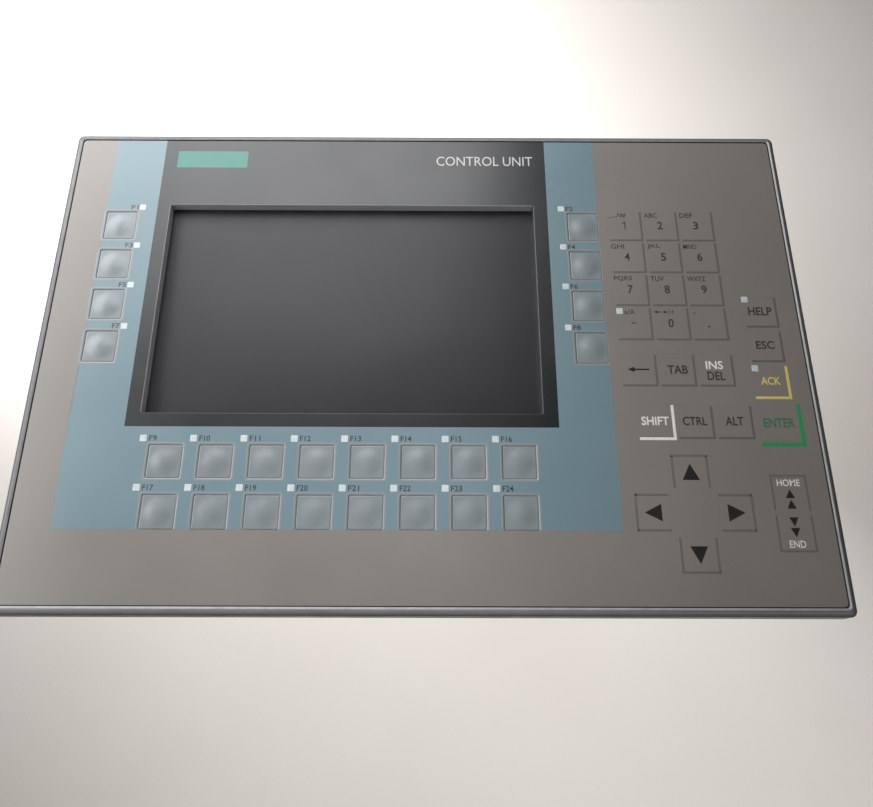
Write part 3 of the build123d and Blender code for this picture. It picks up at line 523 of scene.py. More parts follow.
def lofted(rings, closed=True):
    """A mesh through rings of points, each (x, y, z), with as many points in every ring."""
    work = bmesh.new()
    rows = [[work.verts.new(point) for point in ring] for ring in rings]
    count = len(rows[0])
    for upper, lower in zip(rows, rows[1:]):
        for index in range(count):
            following = (index + 1) % count
            work.faces.new((upper[index], upper[following], lower[following], lower[index]))
    if closed:
        work.faces.new(rows[0])
        work.faces.new(rows[-1])
    bmesh.ops.recalc_face_normals(work, faces=work.faces)
    return made(work, "lofted")


# ---- Keys ----


def key_caps(node):
    """Outlines of a key node's caps in the plan, each (left, right, bottom, top)."""
    low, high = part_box(node)
    left, right = low.x * 1000 + COLLAR_LIP, high.x * 1000 - COLLAR_LIP
    bottom, top = low.z * 1000 + COLLAR_LIP, high.z * 1000 - COLLAR_LIP
    if node not in PAD_ROWS:
        return [(left, right, bottom, top)]
    pitch = (right - left - PAD_CAP) / 2
    return [(left + pitch * index, left + pitch * index + PAD_CAP, bottom, top) for index in range(3)]


def cap_middle(node):
    left, right, bottom, top = key_caps(node)[0]
    return (left + right) / 2, (bottom + top) / 2


def key_opening(cap, notched):
    """The foil's opening round a cap, with the corner beside an indicator left closed."""
    left, right, bottom, top = cap[0] - SEAM, cap[1] + SEAM, cap[2] - SEAM, cap[3] + SEAM
    if not notched:
        return rounded(left, right, bottom, top, KEY_CORNER)
    step_x, step_y = cap[0] + NOTCH - SEAM, cap[3] - NOTCH + SEAM
    return [
        *corner_arc(right - KEY_CORNER, top - KEY_CORNER, KEY_CORNER, 0),
        (step_x, top),
        (step_x, step_y),
        (left, step_y),
        *corner_arc(left + KEY_CORNER, bottom + KEY_CORNER, KEY_CORNER, 180),
        *corner_arc(right - KEY_CORNER, bottom + KEY_CORNER, KEY_CORNER, 270),
    ]


KEY_NODES = [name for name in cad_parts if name.startswith("key") and name != "key_circuit_board"]
FLAT_KEYS = [name for name in KEY_NODES if name not in F_KEYS]

DOME_REACH, DOME_RISE, DOME_STEPS = 6.3, 0.33, 16
WINDOW_SINK = 0.3  # how far a window's edge lies below the foil's face
WINDOW_EDGE = 0.08  # bevel round a window


def window_key(node):
    """A function key: clear window with a soft embossed dome, on its cap, collar and stem."""
    left, right, bottom, top = key_caps(node)[0]
    middle_x, middle_y = cap_middle(node)

    def ring(grow, z):
        outline = ringed(left - grow, right + grow, bottom - grow, top + grow, KEY_CORNER)
        return [(x, y, z) for x, y in outline]

    def dome(share):
        points = []
        for x, y, _ in ring(-WINDOW_EDGE, 0):
            x, y = middle_x + (x - middle_x) * share, middle_y + (y - middle_y) * share
            reach = min(1.0, math.hypot(x - middle_x, y - middle_y) / DOME_REACH)
            rise = (DOME_RISE + WINDOW_SINK) * (1 - reach**2) ** 2
            points.append((x, y, FOIL_FACE - WINDOW_SINK + rise))
        return points

    def stem(z):
        points = []
        for x, y, _ in ring(0, z):
            scale = STEM_RADIUS / math.hypot(x - middle_x, y - middle_y)
            points.append((middle_x + (x - middle_x) * scale, middle_y + (y - middle_y) * scale, z))
        return points

    rings = [dome((step + 1) / DOME_STEPS) for step in range(DOME_STEPS)]
    rings += [ring(0, FOIL_FACE - WINDOW_SINK - WINDOW_EDGE), ring(0, CAP_BACK)]
    rings += [ring(COLLAR_LIP, CAP_BACK), ring(COLLAR_LIP, COLLAR_BACK), stem(COLLAR_BACK), stem(STEM_TIP)]
    name = node.replace("key_", "window_key_")
    put(name, lofted(rings), node, [WINDOW], smooth=True, replaces=[node])


# ---- The printed foil, its indicator windows and the beads round the function keys ----

# Steps out from a window's edge, each (distance, height above the foil's face).
BEAD_PROFILE = (
    (0.04, -0.4), (0.12, -0.24), (0.3, -0.08), (0.5, 0.0), (0.75, 0.03), (1.0, 0.02), (1.25, -0.01)
)
BEAD_ROOM, BEAD_ROUND = 0.7, 0.3  # how much larger and rounder than a window its opening in the foil is
ROUNDING = 0.5  # share of an outline's growth that its corner radius grows by

RECESS_ROOM, RECESS_ROUND = 0.2, 0.2  # how much larger and rounder than the recess the foil's opening is
# Steps into the recess, each (distance in from the opening, depth below the foil's face).
RECESS_PROFILE = ((-0.25, 0.0), (-0.1, 0.03), (0.0, 0.12), (0.08, 0.3), (0.12, 0.6), (0.12, 3.8))


def bead(node):
    """Raised edge round a function key's window, as rings from its inner to its outer side."""
    left, right, bottom, top = key_caps(node)[0]
    rings = []
    for out, rise in BEAD_PROFILE:
        corner = KEY_CORNER + ROUNDING * out
        outline = rounded(left - out, right + out, bottom - out, top + out, corner, CORNER_STEPS)
        kept = [(min(x, BLUE_FIELD[1]), max(y, BLUE_FIELD[2])) for x, y in outline]
        rings.append([(x, y, FOIL_FACE + rise) for x, y in kept])
    return lofted(rings, closed=False)


def bead_opening(node):
    """The blue field's opening for a function key and its bead, kept inside the field."""
    left, right, bottom, top = key_caps(node)[0]
    right = min(right + BEAD_ROOM, BLUE_FIELD[1] - SEAM)
    bottom = max(bottom - BEAD_ROOM, BLUE_FIELD[2] + SEAM)
    return rounded(left - BEAD_ROOM, right, bottom, top + BEAD_ROOM, KEY_CORNER + BEAD_ROUND)


def printed_foil():
    """One foil in three printed fields, with an opening for each key and one for the screen."""
    blue_left, blue_right, blue_low, top = BLUE_FIELD
    dark_left, dark_right, dark_low, _ = DARK_FIELD
    edge = rounded(-FOIL_HALF_WIDTH, FOIL_HALF_WIDTH, -FOIL_HALF_HEIGHT, FOIL_HALF_HEIGHT, FOIL_CORNER)
    corner = len(edge) // 4
    outer = [(blue_left, top), (blue_left, blue_low), (blue_right, blue_low), (blue_right, top)]
    inner = [(dark_right, top), (dark_right, dark_low), (dark_left, dark_low), (dark_left, top)]
    grey = [*edge[:corner], *reversed(outer), *edge[corner:]]
    left, right, bottom, high = OPENING
    room, corner = RECESS_ROOM, RECESS_CORNER + RECESS_ROUND
    fields = (
        [grey, *(opening for node in FLAT_KEYS for opening in flat_openings(node))],
        [outer + inner, *(bead_opening(node) for node in F_KEYS)],
        [rectangle(*DARK_FIELD), rounded(left - room, right + room, bottom - room, high + room, corner)],
    )
    parts = [(sheet_shape(field, FOIL_BACK, FOIL_FACE), index) for index, field in enumerate(fields)]
    put("printed_foil", joined(parts), "panel", [GREY, BLUE, DARK], replaces=["front_foil"])


def flat_openings(node):
    """The grey field's openings for a node's caps; an indicator only ever stands beside its first cap."""
    caps = key_caps(node)
    return [key_opening(cap, index == 0 and node in NOTCHED) for index, cap in enumerate(caps)]


def key_beads():
    beads = [(bead(node), 0) for node in F_KEYS]
    put("key_beads", joined(beads), "panel", [BARE], smooth=True)


def lamp_places():
    """Middles of all 27 indicator windows: side keys, key rows, and three grey keys."""
    places = [(x, SIDE_LAMPS_TOP - SIDE_PITCH * row) for row in range(4) for x in SIDE_LAMPS_X]
    places += [(ROW_LAMPS_X + ROW_PITCH * column, y) for y in ROW_LAMPS_Y for column in range(8)]
    return places + list(PAD_LAMPS)


# Steps up an indicator window's edge, each (distance in from its side, height above the foil's face).
LAMP_PROFILE = ((0, -0.05), (0, 0.03), (0.08, 0.07), (0.5, 0.08))
LAMP_CORNER = 0.25


def indicator_windows():
    """Small white light windows, a little proud of the foil with softened edges."""
    lamps = []
    for x, y in lamp_places():
        rings = []
        for inset, rise in LAMP_PROFILE:
            half = LAMP_SIZE / 2 - inset
            outline = rounded(x - half, x + half, y - half, y + half, LAMP_CORNER, 3)
            rings.append([(px, py, FOIL_FACE + rise) for px, py in outline])
        lamps.append((lofted(rings), 0))
    put("indicator_windows", joined(lamps), "panel", [LAMP])


# ---- Printing on the foil and the keys ----

PRINT_LOW, PRINT_HIGH = FOIL_FACE - 0.01, FOIL_FACE + 0.015


class Print:
    """Collects flat marks in several inks, and makes them one piece on a body."""

    def __init__(self, name, body):
        self.name, self.body = name, body
        self.marks, self.inks = [], []

    def index(self, material):
        """The number of an ink among the piece's materials."""
        if material not in self.inks:
            self.inks.append(material)
        return self.inks.index(material)

    def shape(self, outline, material):
        self.marks.append((sheet_shape([outline], PRINT_LOW, PRINT_HIGH), self.index(material)))

    def bar(self, left, right, bottom, top, material):
        self.shape(rectangle(left, right, bottom, top), material)

    def text(self, words, left, right, bottom, top, material, weight=0.0):
        """Words fitted into a box, in the built-in sans face; weight thickens the strokes."""
        curve = bpy.data.curves.new("words", "FONT")
        curve.body = words
        curve.resolution_u = 3
        curve.extrude = 0.1  # only parts the two faces, which the fitting below puts at their heights
        curve.offset = weight
        mesh = flattened(curve)
        points = [vertex.co for vertex in mesh.vertices]
        low_x, high_x = min(p.x for p in points), max(p.x for p in points)
        low_y, high_y = min(p.y for p in points), max(p.y for p in points)
        for point in points:
            point.x = left + (point.x - low_x) / (high_x - low_x) * (right - left)
            point.y = bottom + (point.y - low_y) / (high_y - low_y) * (top - bottom)
            point.z = PRINT_HIGH if point.z > 0 else PRINT_LOW
        self.marks.append((mesh, self.index(material)))

    def arrow(self, x, y, width, height, turn, material):
        """A solid triangle centred on x, y that points up before it is turned, in degrees."""
        corners = ((-width / 2, -height / 2), (width / 2, -height / 2), (0, height / 2))
        spin = Matrix.Rotation(math.radians(turn), 2)
        self.shape([tuple(Vector((x, y)) + spin @ Vector(corner)) for corner in corners], material)

    def make(self):
        put(self.name, joined(self.marks), self.body, self.inks)


LINE = 0.85  # width of the printed lines beside the keys
ARROW_SIDES = {"key_up": (0, 1), "key_down": (0, -1), "key_left": (-1, 0), "key_right": (1, 0)}
FRAMED_KEYS = (*ARROW_SIDES, "key_home", "key_end")
# Lines beside the other grey keys: growth of the cap's left, right, bottom and top, then ink and width.
KEY_LINES = {
    "key_shift": (1.0, 0.2, -0.2, 0.0, INK_WHITE, 1.1),
    "key_ack": (0.2, 0.2, 0.3, 0.0, INK_YELLOW, 1.1),
    "key_enter": (-0.2, 0.1, -0.1, 0.4, INK_GREEN, 1.5),
}
COMMON_LINE = (0.9, 0.2, 0.0, -0.4, INK_LINE, LINE)


def corner_line(sheet, left, right, bottom, top, material, width):
    """The printed line under and to the right of a key, outside the given box."""
    sheet.bar(left, right + width, bottom - width, bottom, material)
    sheet.bar(right, right + width, bottom, top, material)


LABEL_WIDTHS = {1: 3.0, 2: 4.1}  # by the number of digits
LABEL_HALF_HEIGHT = 1.1
LABEL_WEIGHT = 0.012
SIDE_LABEL_RISE, ROW_LABEL_RISE = 2.3, 2.75  # from the top of a cap to the middle of its label
LEFT_LABEL_GAP, RIGHT_LABEL_GAP, ROW_LABEL_START = 0.5, 0.7, -0.5


def function_labels(sheet):
    """F1 to F24: beside the indicators of the side keys, and over the caps of the two rows."""
    for number in range(1, 25):
        width = LABEL_WIDTHS[len(str(number))]
        left, _, _, top = key_caps(f"key_f{number}")[0]
        middle = top + (SIDE_LABEL_RISE if number <= 8 else ROW_LABEL_RISE)
        if number > 8:
            start = left + ROW_LABEL_START
        elif number % 2:
            start = SIDE_LAMPS_X[0] - LAMP_SIZE / 2 - LEFT_LABEL_GAP - width
        else:
            start = SIDE_LAMPS_X[1] + LAMP_SIZE / 2 + RIGHT_LABEL_GAP
        low, high = middle - LABEL_HALF_HEIGHT, middle + LABEL_HALF_HEIGHT
        sheet.text(f"F{number}", start, start + width, low, high, INK_DARK, LABEL_WEIGHT)


def key_lines(sheet):
    """The line under and to the right of each grey key that has one, in the key's own ink."""
    for node in FLAT_KEYS:
        if node in FRAMED_KEYS:
            continue
        *grow, material, width = KEY_LINES.get(node, COMMON_LINE)
        for cap in key_caps(node):
            corner_line(sheet, *(side + more for side, more in zip(cap, grow)), material, width)


ARROW_REACH, ARROW_NEAR = 7.0, 0.4  # half the size of an arrow key's frame, and its legs' shift outwards
JUMP_GROW = (-0.8, 0.9, -1.2, 1.0)  # growth of home's and end's caps to their frame
JUMP_LINE, JUMP_GAP = 0.75, 0.9


def arrow_frames(sheet):
    """Three-sided frames round the arrow keys, open towards the middle."""
    outer, long = ARROW_REACH - LINE / 2, 2 * ARROW_REACH
    short = long - 2 * ARROW_NEAR - LINE
    for node, (dx, dy) in ARROW_SIDES.items():
        x, y = cap_middle(node)
        back, leg = ((long, LINE), (LINE, short)) if dy else ((LINE, long), (short, LINE))
        sheet.shape(centred(x + dx * outer, y + dy * outer, *back), INK_SOFT)
        x, y = x + dx * ARROW_NEAR, y + dy * ARROW_NEAR
        for shift in (-outer, outer):
            sheet.shape(centred(x + abs(dy) * shift, y + abs(dx) * shift, *leg), INK_SOFT)


def jump_frame(sheet):
    """One frame round home and end, with a gap in the middle of its long sides."""
    left, right, _, top = key_caps("key_home")[0]
    bottom = key_caps("key_end")[0][2]
    left, right, bottom, top = (side + more for side, more in zip((left, right, bottom, top), JUMP_GROW))
    middle = (bottom + top) / 2
    sheet.bar(left, right, top - JUMP_LINE, top, INK_SOFT)
    sheet.bar(left, right, bottom, bottom + JUMP_LINE, INK_SOFT)
    for x in (left, right - JUMP_LINE):
        sheet.bar(x, x + JUMP_LINE, middle + JUMP_GAP, top - JUMP_LINE, INK_SOFT)
        sheet.bar(x, x + JUMP_LINE, bottom + JUMP_LINE, middle - JUMP_GAP, INK_SOFT)


PLATE_BOX = (-108.5, -77.9, 85.0, 93.5)
TITLE_BOX = (4.8, 46.8, 86.4, 91.2)


def panel_print():
    """What is printed on the fixed foil: blank plate, title, labels and key lines."""
    sheet = Print("foil_print", "panel")
    sheet.bar(*PLATE_BOX, PLATE)
    sheet.text("CONTROL UNIT", *TITLE_BOX, INK_PALE)
    function_labels(sheet)
    key_lines(sheet)
    arrow_frames(sheet)
    jump_frame(sheet)
    sheet.make()


PAD_LEGENDS = (
    (("_./#", "1"), ("ABC", "2"), ("DEF", "3")),
    (("GHI", "4"), ("JKL", "5"), ("MNO", "6")),
    (("PQRS", "7"), ("TUV", "8"), ("WXYZ", "9")),
)
LETTER_WIDTH, LETTER_SPACE, LETTER_HEIGHT = 1.95, 0.3, 2.3
LETTER_INSET = 0.9  # from the cap's left side and top
DIGIT_WIDTH, DIGIT_HEIGHT = 2.2, 3.75
DIGIT_X, DIGIT_Y = 7.3, 6.8  # middle of a digit, from its cap's lower left corner
LETTER_WEIGHT, DIGIT_WEIGHT = 0.01, 0.015
# The digit 1: left and right side of its stroke, and its flag from the stroke's upper left corner on.
ONE_STROKE = (0.1, 0.55)
ONE_FLAG = ((0.1, 0.0), (-0.75, -0.75), (-0.75, -1.2), (0.1, -0.65))


def digit_box(cap):
    """The box of a cap's digit: left, right, bottom, top."""
    left, _, bottom, _ = cap
    x, y = left + DIGIT_X, bottom + DIGIT_Y
    return x - DIGIT_WIDTH / 2, x + DIGIT_WIDTH / 2, y - DIGIT_HEIGHT / 2, y + DIGIT_HEIGHT / 2


def pad_print(row):
    """A row of number keys: a digit under a small legend at the upper left of each cap."""
    node = PAD_ROWS[row]
    sheet = Print(node.replace("keys", "legend"), node)
    for (letters, digit), cap in zip(PAD_LEGENDS[row], key_caps(node)):
        start, upper = cap[0] + LETTER_INSET, cap[3] - LETTER_INSET
        end = start + (LETTER_WIDTH * len(letters) - LETTER_SPACE)
        sheet.text(letters, start, end, upper - LETTER_HEIGHT, upper, INK_DARK, LETTER_WEIGHT)
        box = digit_box(cap)
        if digit == "1":
            x, low, high = cap[0] + DIGIT_X, *box[2:]
            near, far = x + ONE_STROKE[0], x + ONE_STROKE[1]
            flag = [(x + across, high + up) for across, up in ONE_FLAG]
            sheet.shape([(near, low), (far, low), (far, high), *flag], INK_DARK)
        else:
            sheet.text(digit, *box, INK_DARK, DIGIT_WEIGHT)
    sheet.make()


CASE_BOX = (4.0, 8.3)  # sides of the sign key's small legend, from its cap's left side
MINUS_BOX = (6.5, 8.1, 0.25)  # sides of the minus, and half its thickness
POINT_BOX = (7.0, 7.8, -1.9, -1.1)  # round the digit's middle height
DOT_BOX = (1.8, 2.4, -2.1, -1.5)  # under the upper edge of the legends
# The zero key's small legend, from its left end: two dashes, two arrowheads and a slash with a plus.
ZERO_LEGEND = (0.6, 1.2)  # its left end from the cap's left side, and its middle below the legends' top
DASHES, DASH_HALF = ((1.2, 3.2), (3.9, 4.6)), 0.2
ARROWHEADS, ARROWHEAD_SIZE = ((0.9, 90), (5.1, -90)), (1.3, 1.5)
SLASH_PLUS = (6.1, 8.5, 1.1)


def sign_row_print():
    """The lowest row of the pad: a minus, a zero and a point, each with its small legend."""
    node = PAD_ROWS[3]
    sheet = Print("legend_sign_0_point", node)
    sign, zero, point = key_caps(node)
    upper = sign[3] - LETTER_INSET
    sheet.text("a/A", sign[0] + CASE_BOX[0], sign[0] + CASE_BOX[1], upper - LETTER_HEIGHT, upper, INK_DARK)
    y = sign[2] + DIGIT_Y
    near, far, half = MINUS_BOX
    sheet.bar(sign[0] + near, sign[0] + far, y - half, y + half, INK_DARK)
    start, line = zero[0] + ZERO_LEGEND[0], upper - ZERO_LEGEND[1]
    for (near, far), (place, turn) in zip(DASHES, ARROWHEADS):
        sheet.bar(start + near, start + far, line - DASH_HALF, line + DASH_HALF, INK_DARK)
        sheet.arrow(start + place, line, *ARROWHEAD_SIZE, turn, INK_DARK)
    near, far, half = SLASH_PLUS
    sheet.text("/+", start + near, start + far, line - half, line + half, INK_DARK)
    sheet.text("0", *digit_box(zero), INK_DARK, DIGIT_WEIGHT)
    for (near, far, low, high), height in ((POINT_BOX, y), (DOT_BOX, upper)):
        sheet.bar(point[0] + near, point[0] + far, height + low, height + high, INK_DARK)
    sheet.make()


# Words on the grey keys: box (left, right, bottom, top) from the cap's lower left corner, and ink.
EDIT_WORDS = (("INS", (3.9, 10.7, 6.5, 10.0), INK_WHITE), ("DEL", (4.1, 11.0, 1.9, 5.5), INK_DARK))
WORDS = {
    "key_tab": ("TAB", (3.8, 11.8, 4.5, 8.1), INK_DARK),
    "key_shift": ("SHIFT", (2.2, 12.8, 4.6, 8.1), INK_WHITE),
    "key_ctrl": ("CTRL", (2.9, 12.3, 4.6, 8.1), INK_DARK),
    "key_alt": ("ALT", (4.2, 11.2, 4.6, 8.1), INK_DARK),
    "key_help": ("HELP", (2.3, 11.8, 4.6, 8.3), INK_DARK),
    "key_esc": ("ESC", (3.4, 10.7, 4.8, 8.3), INK_DARK),
    "key_ack": ("ACK", (3.1, 10.8, 5.1, 8.4), INK_YELLOW),
    "key_enter": ("ENTER", (1.7, 13.6, 6.0, 9.7), INK_FOREST),
}
WORD_WEIGHT, JUMP_WEIGHT = 0.018, 0.012


def word_print(name, node, words):
    """The words of one grey key, each placed from its cap's lower left corner."""
    cap_left, _, cap_bottom, _ = key_caps(node)[0]
    sheet = Print(name, node)
    for word, (left, right, bottom, top), material in words:
        box = (cap_left + left, cap_left + right, cap_bottom + bottom, cap_bottom + top)
        sheet.text(word, *box, material, WORD_WEIGHT)
    sheet.make()


BACK_LINE = (5.4, 11.7, 0.33)  # sides of the back arrow's shaft, and half its thickness
BACK_HEAD, BACK_HEAD_SIZE, BACK_Y = 4.6, (2.4, 2.6), 6.3


def back_print():
    """The back key's arrow to the left."""
    left, _, bottom, _ = key_caps("key_back")[0]
    sheet = Print("legend_back", "key_back")
    near, far, half = BACK_LINE
    middle = bottom + BACK_Y
    sheet.bar(left + near, left + far, middle - half, middle + half, INK_BLACK)
    sheet.arrow(left + BACK_HEAD, middle, *BACK_HEAD_SIZE, 90, INK_BLACK)
    sheet.make()


ARROW_TURNS = {"key_up": 0, "key_left": 90, "key_down": 180, "key_right": -90}
ARROW_SIZE, ARROW_FORWARD = (6.5, 6.3), 0.4
JUMP_SIZE, JUMP_ASIDE = (3.4, 3.4), -0.05
# Each word's half width, bottom and top, and its arrows, from the top of home and from the bottom of end.
HOME_WORD, HOME_ARROWS = (4.3, -3.4, -0.8), (-6.2, -10.1)
END_WORD, END_ARROWS = (3.0, 0.4, 3.0), (5.9, 9.8)


def arrow_print():
    """A solid arrow on each of the four arrow keys, a little out from the cap's middle."""
    for node, turn in ARROW_TURNS.items():
        x, y = cap_middle(node)
        shift = Matrix.Rotation(math.radians(turn), 2) @ Vector((0, ARROW_FORWARD))
        sheet = Print(node.replace("key", "legend"), node)
        sheet.arrow(x + shift.x, y + shift.y, *ARROW_SIZE, turn, INK_BLACK)
        sheet.make()


def jump_print():
    """Home and end: a word and two arrows each, up from home and down to end."""
    left, right, _, home_top = key_caps("key_home")[0]
    end_bottom = key_caps("key_end")[0][2]
    middle = (left + right) / 2 + JUMP_ASIDE
    for word, start, (half, low, high), arrows, turn in (
        ("HOME", home_top, HOME_WORD, HOME_ARROWS, 0),
        ("END", end_bottom, END_WORD, END_ARROWS, 180),
    ):
        sheet = Print(f"legend_{word.lower()}", f"key_{word.lower()}")
        sheet.text(word, middle - half, middle + half, start + low, start + high, INK_WHITE, JUMP_WEIGHT)
        for y in arrows:
            sheet.arrow(middle, start + y, *JUMP_SIZE, turn, INK_BLACK)
        sheet.make()


def key_print():
    """What is printed on the moving keys; each piece rides on its key."""
    for row in range(3):
        pad_print(row)
    sign_row_print()
    back_print()
    word_print("legend_ins_del", "key_ins_del", EDIT_WORDS)
    for node, words in WORDS.items():
        word_print(node.replace("key", "legend"), node, [words])
    arrow_print()
    jump_print()


# ---- Screen, connectors and the rear ----

SCREEN_DEPTHS = (0.12, 0.04)  # rear and front of the drawn screen, behind the window's rear face
SCREEN_MARGIN = 2.0
LINING_BAND = 0.5  # how far in from its edge a side of the recess is told from the others


def screen_area():
    """What shows through the window: the liquid crystal area inside its black border."""
    low, high = (WINDOW_REAR - depth for depth in SCREEN_DEPTHS)
    left, right, bottom, top = OPENING
    margin = SCREEN_MARGIN
    edge = rectangle(left - margin, right + margin, bottom - margin, top + margin)
    lit = rectangle(*LIT_AREA)
    parts = [(sheet_shape([edge, lit], low, high), 0), (sheet_shape([lit], low, high), 1)]
    put("screen_area", joined(parts), "panel", [border_black(), lit_area()])


def recess_lining():
    """Thin wall round the screen's recess, painted lighter on its left and upper sides and darker on the
    others: painted light and painted shade.
    """
    rings = []
    left, right, bottom, top = OPENING
    for inset, drop in RECESS_PROFILE:
        corner = RECESS_CORNER - ROUNDING * inset
        outline = rounded(left + inset, right - inset, bottom + inset, top - inset, corner)
        rings.append([(x, y, FOIL_FACE - drop) for x, y in outline])
    mesh = lofted(rings, closed=False)
    # Faces near the right and lower sides take the painted shade, the rest the painted light.
    for face in mesh.polygons:
        x, y, _ = face.center
        face.material_index = 1 if x > right - LINING_BAND or y < bottom + LINING_BAND else 0
    put("recess_lining", mesh, "panel", [LINING_PAINTED_LIGHT, LINING_PAINTED_SHADE])


# The groove's painted shadow: each part's reach out from the foil, and its heights.
GROOVE_PARTS = (((0.02, 0.36), (7.52, 7.8)), ((0.34, 0.39), (7.52, 8.18)))


def foil_gap():
    """Dark sheet in the groove between the foil and the rim, and up the rim's inner wall: a painted shadow
    line.
    """
    parts = []
    for reach, heights in GROOVE_PARTS:
        outlines = []
        for grow in reversed(reach):
            half_width, half_height = FOIL_HALF_WIDTH + grow, FOIL_HALF_HEIGHT + grow
            outlines.append(rounded(-half_width, half_width, -half_height, half_height, FOIL_CORNER + grow))
        parts.append((sheet_shape(outlines, *heights), 0))
    put("foil_gap", joined(parts), "panel", [GROOVE_PAINTED_SHADOW])


TONGUE_SIZE, STRIP_SIZE, WIRE_SIZE = (11.0, 9.5, 1.9), (1.0, 7.6, 0.1), (0.4, 9.0, 0.25)
TONGUE_DROP, STRIP_RISE, STRIP_PLACES = 1.0, 0.02, (-3.5, -1.25, 1.25, 3.5)
WIRE_COUNT, WIRE_PITCH, WIRE_SLOPE = 8, 1.02, 24


def block(place, size):
    """A box centred on a place, both x, y and z in the plan."""
    (x, y, z), (width, length, height) = place, size
    return sheet_shape([centred(x, y, width, length)], z - height / 2, z + height / 2)


def port_contacts():
    """Tongues with gold strips in the two USB sockets, and contact wires in the two network sockets."""
    parts = []
    for x in USB_PORTS_X:
        parts.append((block((x, USB_TONGUE_Y, USB_MIDDLE_Z - TONGUE_DROP), TONGUE_SIZE), 0))
        for step in STRIP_PLACES:
            parts.append((block((x + step, USB_STRIPS_Y, USB_MIDDLE_Z + STRIP_RISE), STRIP_SIZE), 1))
    for x in LAN_PORTS_X:
        for index in range(WIRE_COUNT):
            wire = block((0, 0, 0), WIRE_SIZE)
            wire.transform(Matrix.Rotation(math.radians(WIRE_SLOPE), 4, "X"))
            step = (index - (WIRE_COUNT - 1) / 2) * WIRE_PITCH
            wire.transform(Matrix.Translation((x + step, LAN_WIRES_Y, LAN_CONTACTS_Z)))
            parts.append((wire, 1))
    put("port_contacts", joined(parts), "panel", [TONGUE, GOLD])


LABEL_BOX, LABEL_CORNER = (-40.0, 22.0, 6.0, 40.0), 1.5
LABEL_DEPTHS, RULE_DEPTHS = (-0.12, 0.02), (-0.15, -0.1)  # heights of the paper and its rules at the cover
RULE_COUNT, RULE_TOP, RULE_PITCH, RULE_HALF = 5, 5.0, 5.4, 0.3
RULE_INSET, RULE_SHORTER = 4.0, 7.0  # every second rule ends that much earlier


def rating_label():
    """Blank rating label on the rear cover, with ruled lines where its entries would be."""
    left, right, bottom, top = LABEL_BOX
    low, high = (COVER_BACK + depth for depth in LABEL_DEPTHS)
    parts = [(sheet_shape([rounded(left, right, bottom, top, LABEL_CORNER)], low, high), 0)]
    low, high = (COVER_BACK + depth for depth in RULE_DEPTHS)
    for row in range(RULE_COUNT):
        y = top - RULE_TOP - row * RULE_PITCH
        end = right - RULE_INSET - RULE_SHORTER * (row % 2)
        rule = rectangle(left + RULE_INSET, end, y - RULE_HALF, y + RULE_HALF)
        parts.append((sheet_shape([rule], low, high), 1))
    put("rating_label", joined(parts), "panel", [LABEL, INK_SOFT])


# ---- Stage, lights and camera ----

FLOOR_Z, FLOOR_FRONT, FLOOR_REAR = -0.5, -4.0, 0.5
SWEEP_BEND, SWEEP_STEPS, WALL_HEIGHT, SWEEP_HALF_WIDTH = 0.7, 14, 4.0, 5.0


def sweep():
    """Pale floor that curves up into the backdrop, in metres."""
    profile = [(FLOOR_FRONT, 0.0), (FLOOR_REAR, 0.0)]
    for step in range(1, SWEEP_STEPS + 1):
        angle = math.radians(90 * step / SWEEP_STEPS)
        profile.append((FLOOR_REAR + SWEEP_BEND * math.sin(angle), SWEEP_BEND * (1 - math.cos(angle))))
    profile.append((FLOOR_REAR + SWEEP_BEND, WALL_HEIGHT))
    work = bmesh.new()
    sides = (-SWEEP_HALF_WIDTH, SWEEP_HALF_WIDTH)
    rows = [[work.verts.new((x, y, z + FLOOR_Z)) for y, z in profile] for x in sides]
    for index in range(len(profile) - 1):
        work.faces.new((rows[0][index], rows[0][index + 1], rows[1][index + 1], rows[1][index]))
    mesh = made(work, "sweep")
    mesh.polygons.foreach_set("use_smooth", [True] * len(mesh.polygons))
    look = Finish("backdrop")
    look.colour(look.mix(look.patches(1.2, 3), (228, 223, 218), (221, 215, 209)))
    look.roughness(look.noise(3, 3), 0.8, 0.9)
    look.bump(look.noise(400, 2), 0.0003)
    mesh.materials.append(look.material)
    placed("sweep", mesh)


def area_light(name, place, target, size, power):
    """A soft light of the given width and height in metres, turned from its place towards a target."""
    light = bpy.data.lights.new(name, "AREA")
    light.shape = "RECTANGLE"
    light.size, light.size_y = size
    light.energy = power
    holder = placed(name, light)
    holder.location = place
    holder.rotation_euler = (Vector(target) - Vector(place)).to_track_quat("-Z", "Y").to_euler()
    holder.visible_camera = False
    return holder


SKY_LIGHT, SKY_SEEN = 0.035, 0.5  # strength of the surroundings as light, and how much more of them shows
SKY_COLOUR = (0.95, 0.95, 0.97, 1)


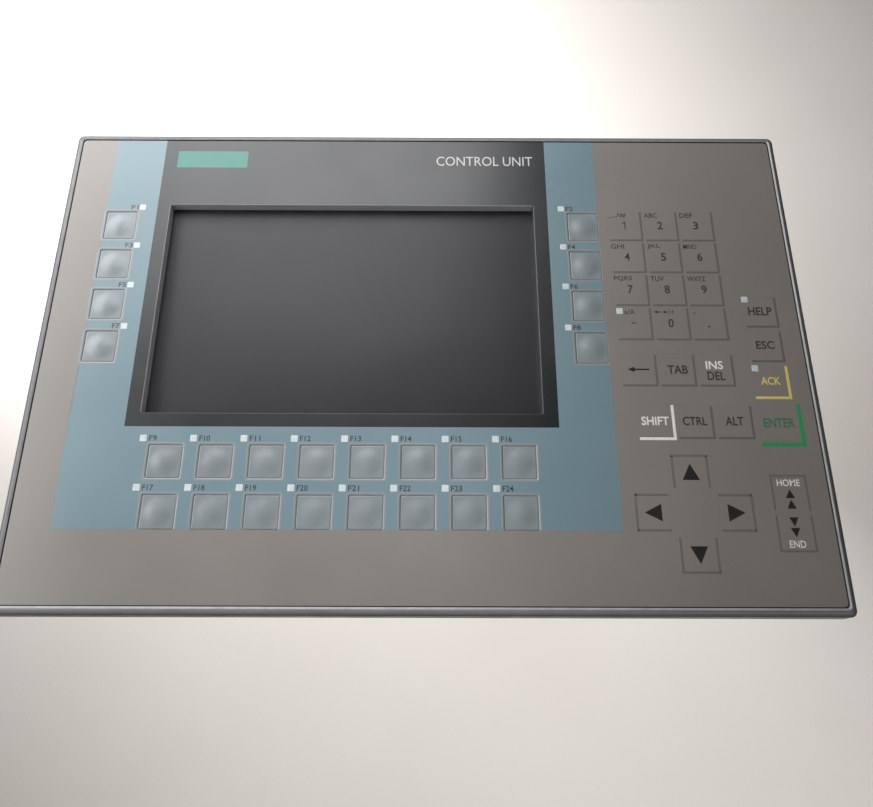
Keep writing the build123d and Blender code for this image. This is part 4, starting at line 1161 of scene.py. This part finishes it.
def lighting():
    """Soft light from the upper left and above, a faint fill, a light behind and one on the backdrop."""
    area_light("key_light", (-0.38, -0.21, 0.11), (-0.06, 0, 0), (0.2, 0.77), 2.6)
    area_light("top_light", (-0.08, -0.21, 0.22), (-0.06, 0, 0), (0.26, 0.26), 0.9)
    fill = area_light("fill_light", (-0.01, -0.12, -0.06), (-0.01, 0, -0.06), (0.1, 0.1), 0.05)
    fill.visible_glossy = False
    area_light("rear_light", (0.8, 0.75, 0.7), (0, 0.05, 0), (0.8, 0.8), 6)
    area_light("wall_light", (-0.55, 0.2, 1.05), (-0.2, 1.2, 1.4), (1.6, 1.0), 44)
    world = bpy.data.worlds.new("world")
    world.use_nodes = True
    nodes, links = world.node_tree.nodes, world.node_tree.links
    nodes["Background"].inputs["Color"].default_value = SKY_COLOUR
    strength = nodes.new("ShaderNodeMath")
    strength.operation = "MULTIPLY_ADD"
    strength.inputs[1].default_value, strength.inputs[2].default_value = SKY_SEEN, SKY_LIGHT
    links.new(nodes.new("ShaderNodeLightPath").outputs["Is Camera Ray"], strength.inputs[0])
    links.new(strength.outputs[0], nodes["Background"].inputs["Strength"])
    bpy.context.scene.world = world
    bpy.context.scene.view_settings.view_transform = "Standard"


FOCAL_LENGTH, SENSOR_WIDTH = 29.06, 36
VIEW_PLACE = (0.0046, -0.26625, -0.11161)
VIEW_RIGHT, VIEW_UP = (0.99999, -0.00299, 0.00277), (-0.00359, -0.32288, 0.94643)


def camera():
    """Looks up at the front from below its middle, as the panel was seen lying on its back."""
    lens = bpy.data.cameras.new("camera")
    lens.lens = FOCAL_LENGTH
    lens.sensor_width = SENSOR_WIDTH
    view = placed("camera", lens)
    right, up = Vector(VIEW_RIGHT), Vector(VIEW_UP)
    turn = Matrix((right, up, right.cross(up))).transposed().to_4x4()
    view.matrix_world = Matrix.Translation(VIEW_PLACE) @ turn
    bpy.context.scene.camera = view


for node, material in NODE_MATERIALS.items():
    dress(node, material)
for node in FLAT_KEYS:
    dress(node, GREY)
printed_foil()
for node in F_KEYS:
    window_key(node)
key_beads()
indicator_windows()
panel_print()
key_print()
screen_area()
recess_lining()
foil_gap()
port_contacts()
rating_label()
sweep()
lighting()
camera()
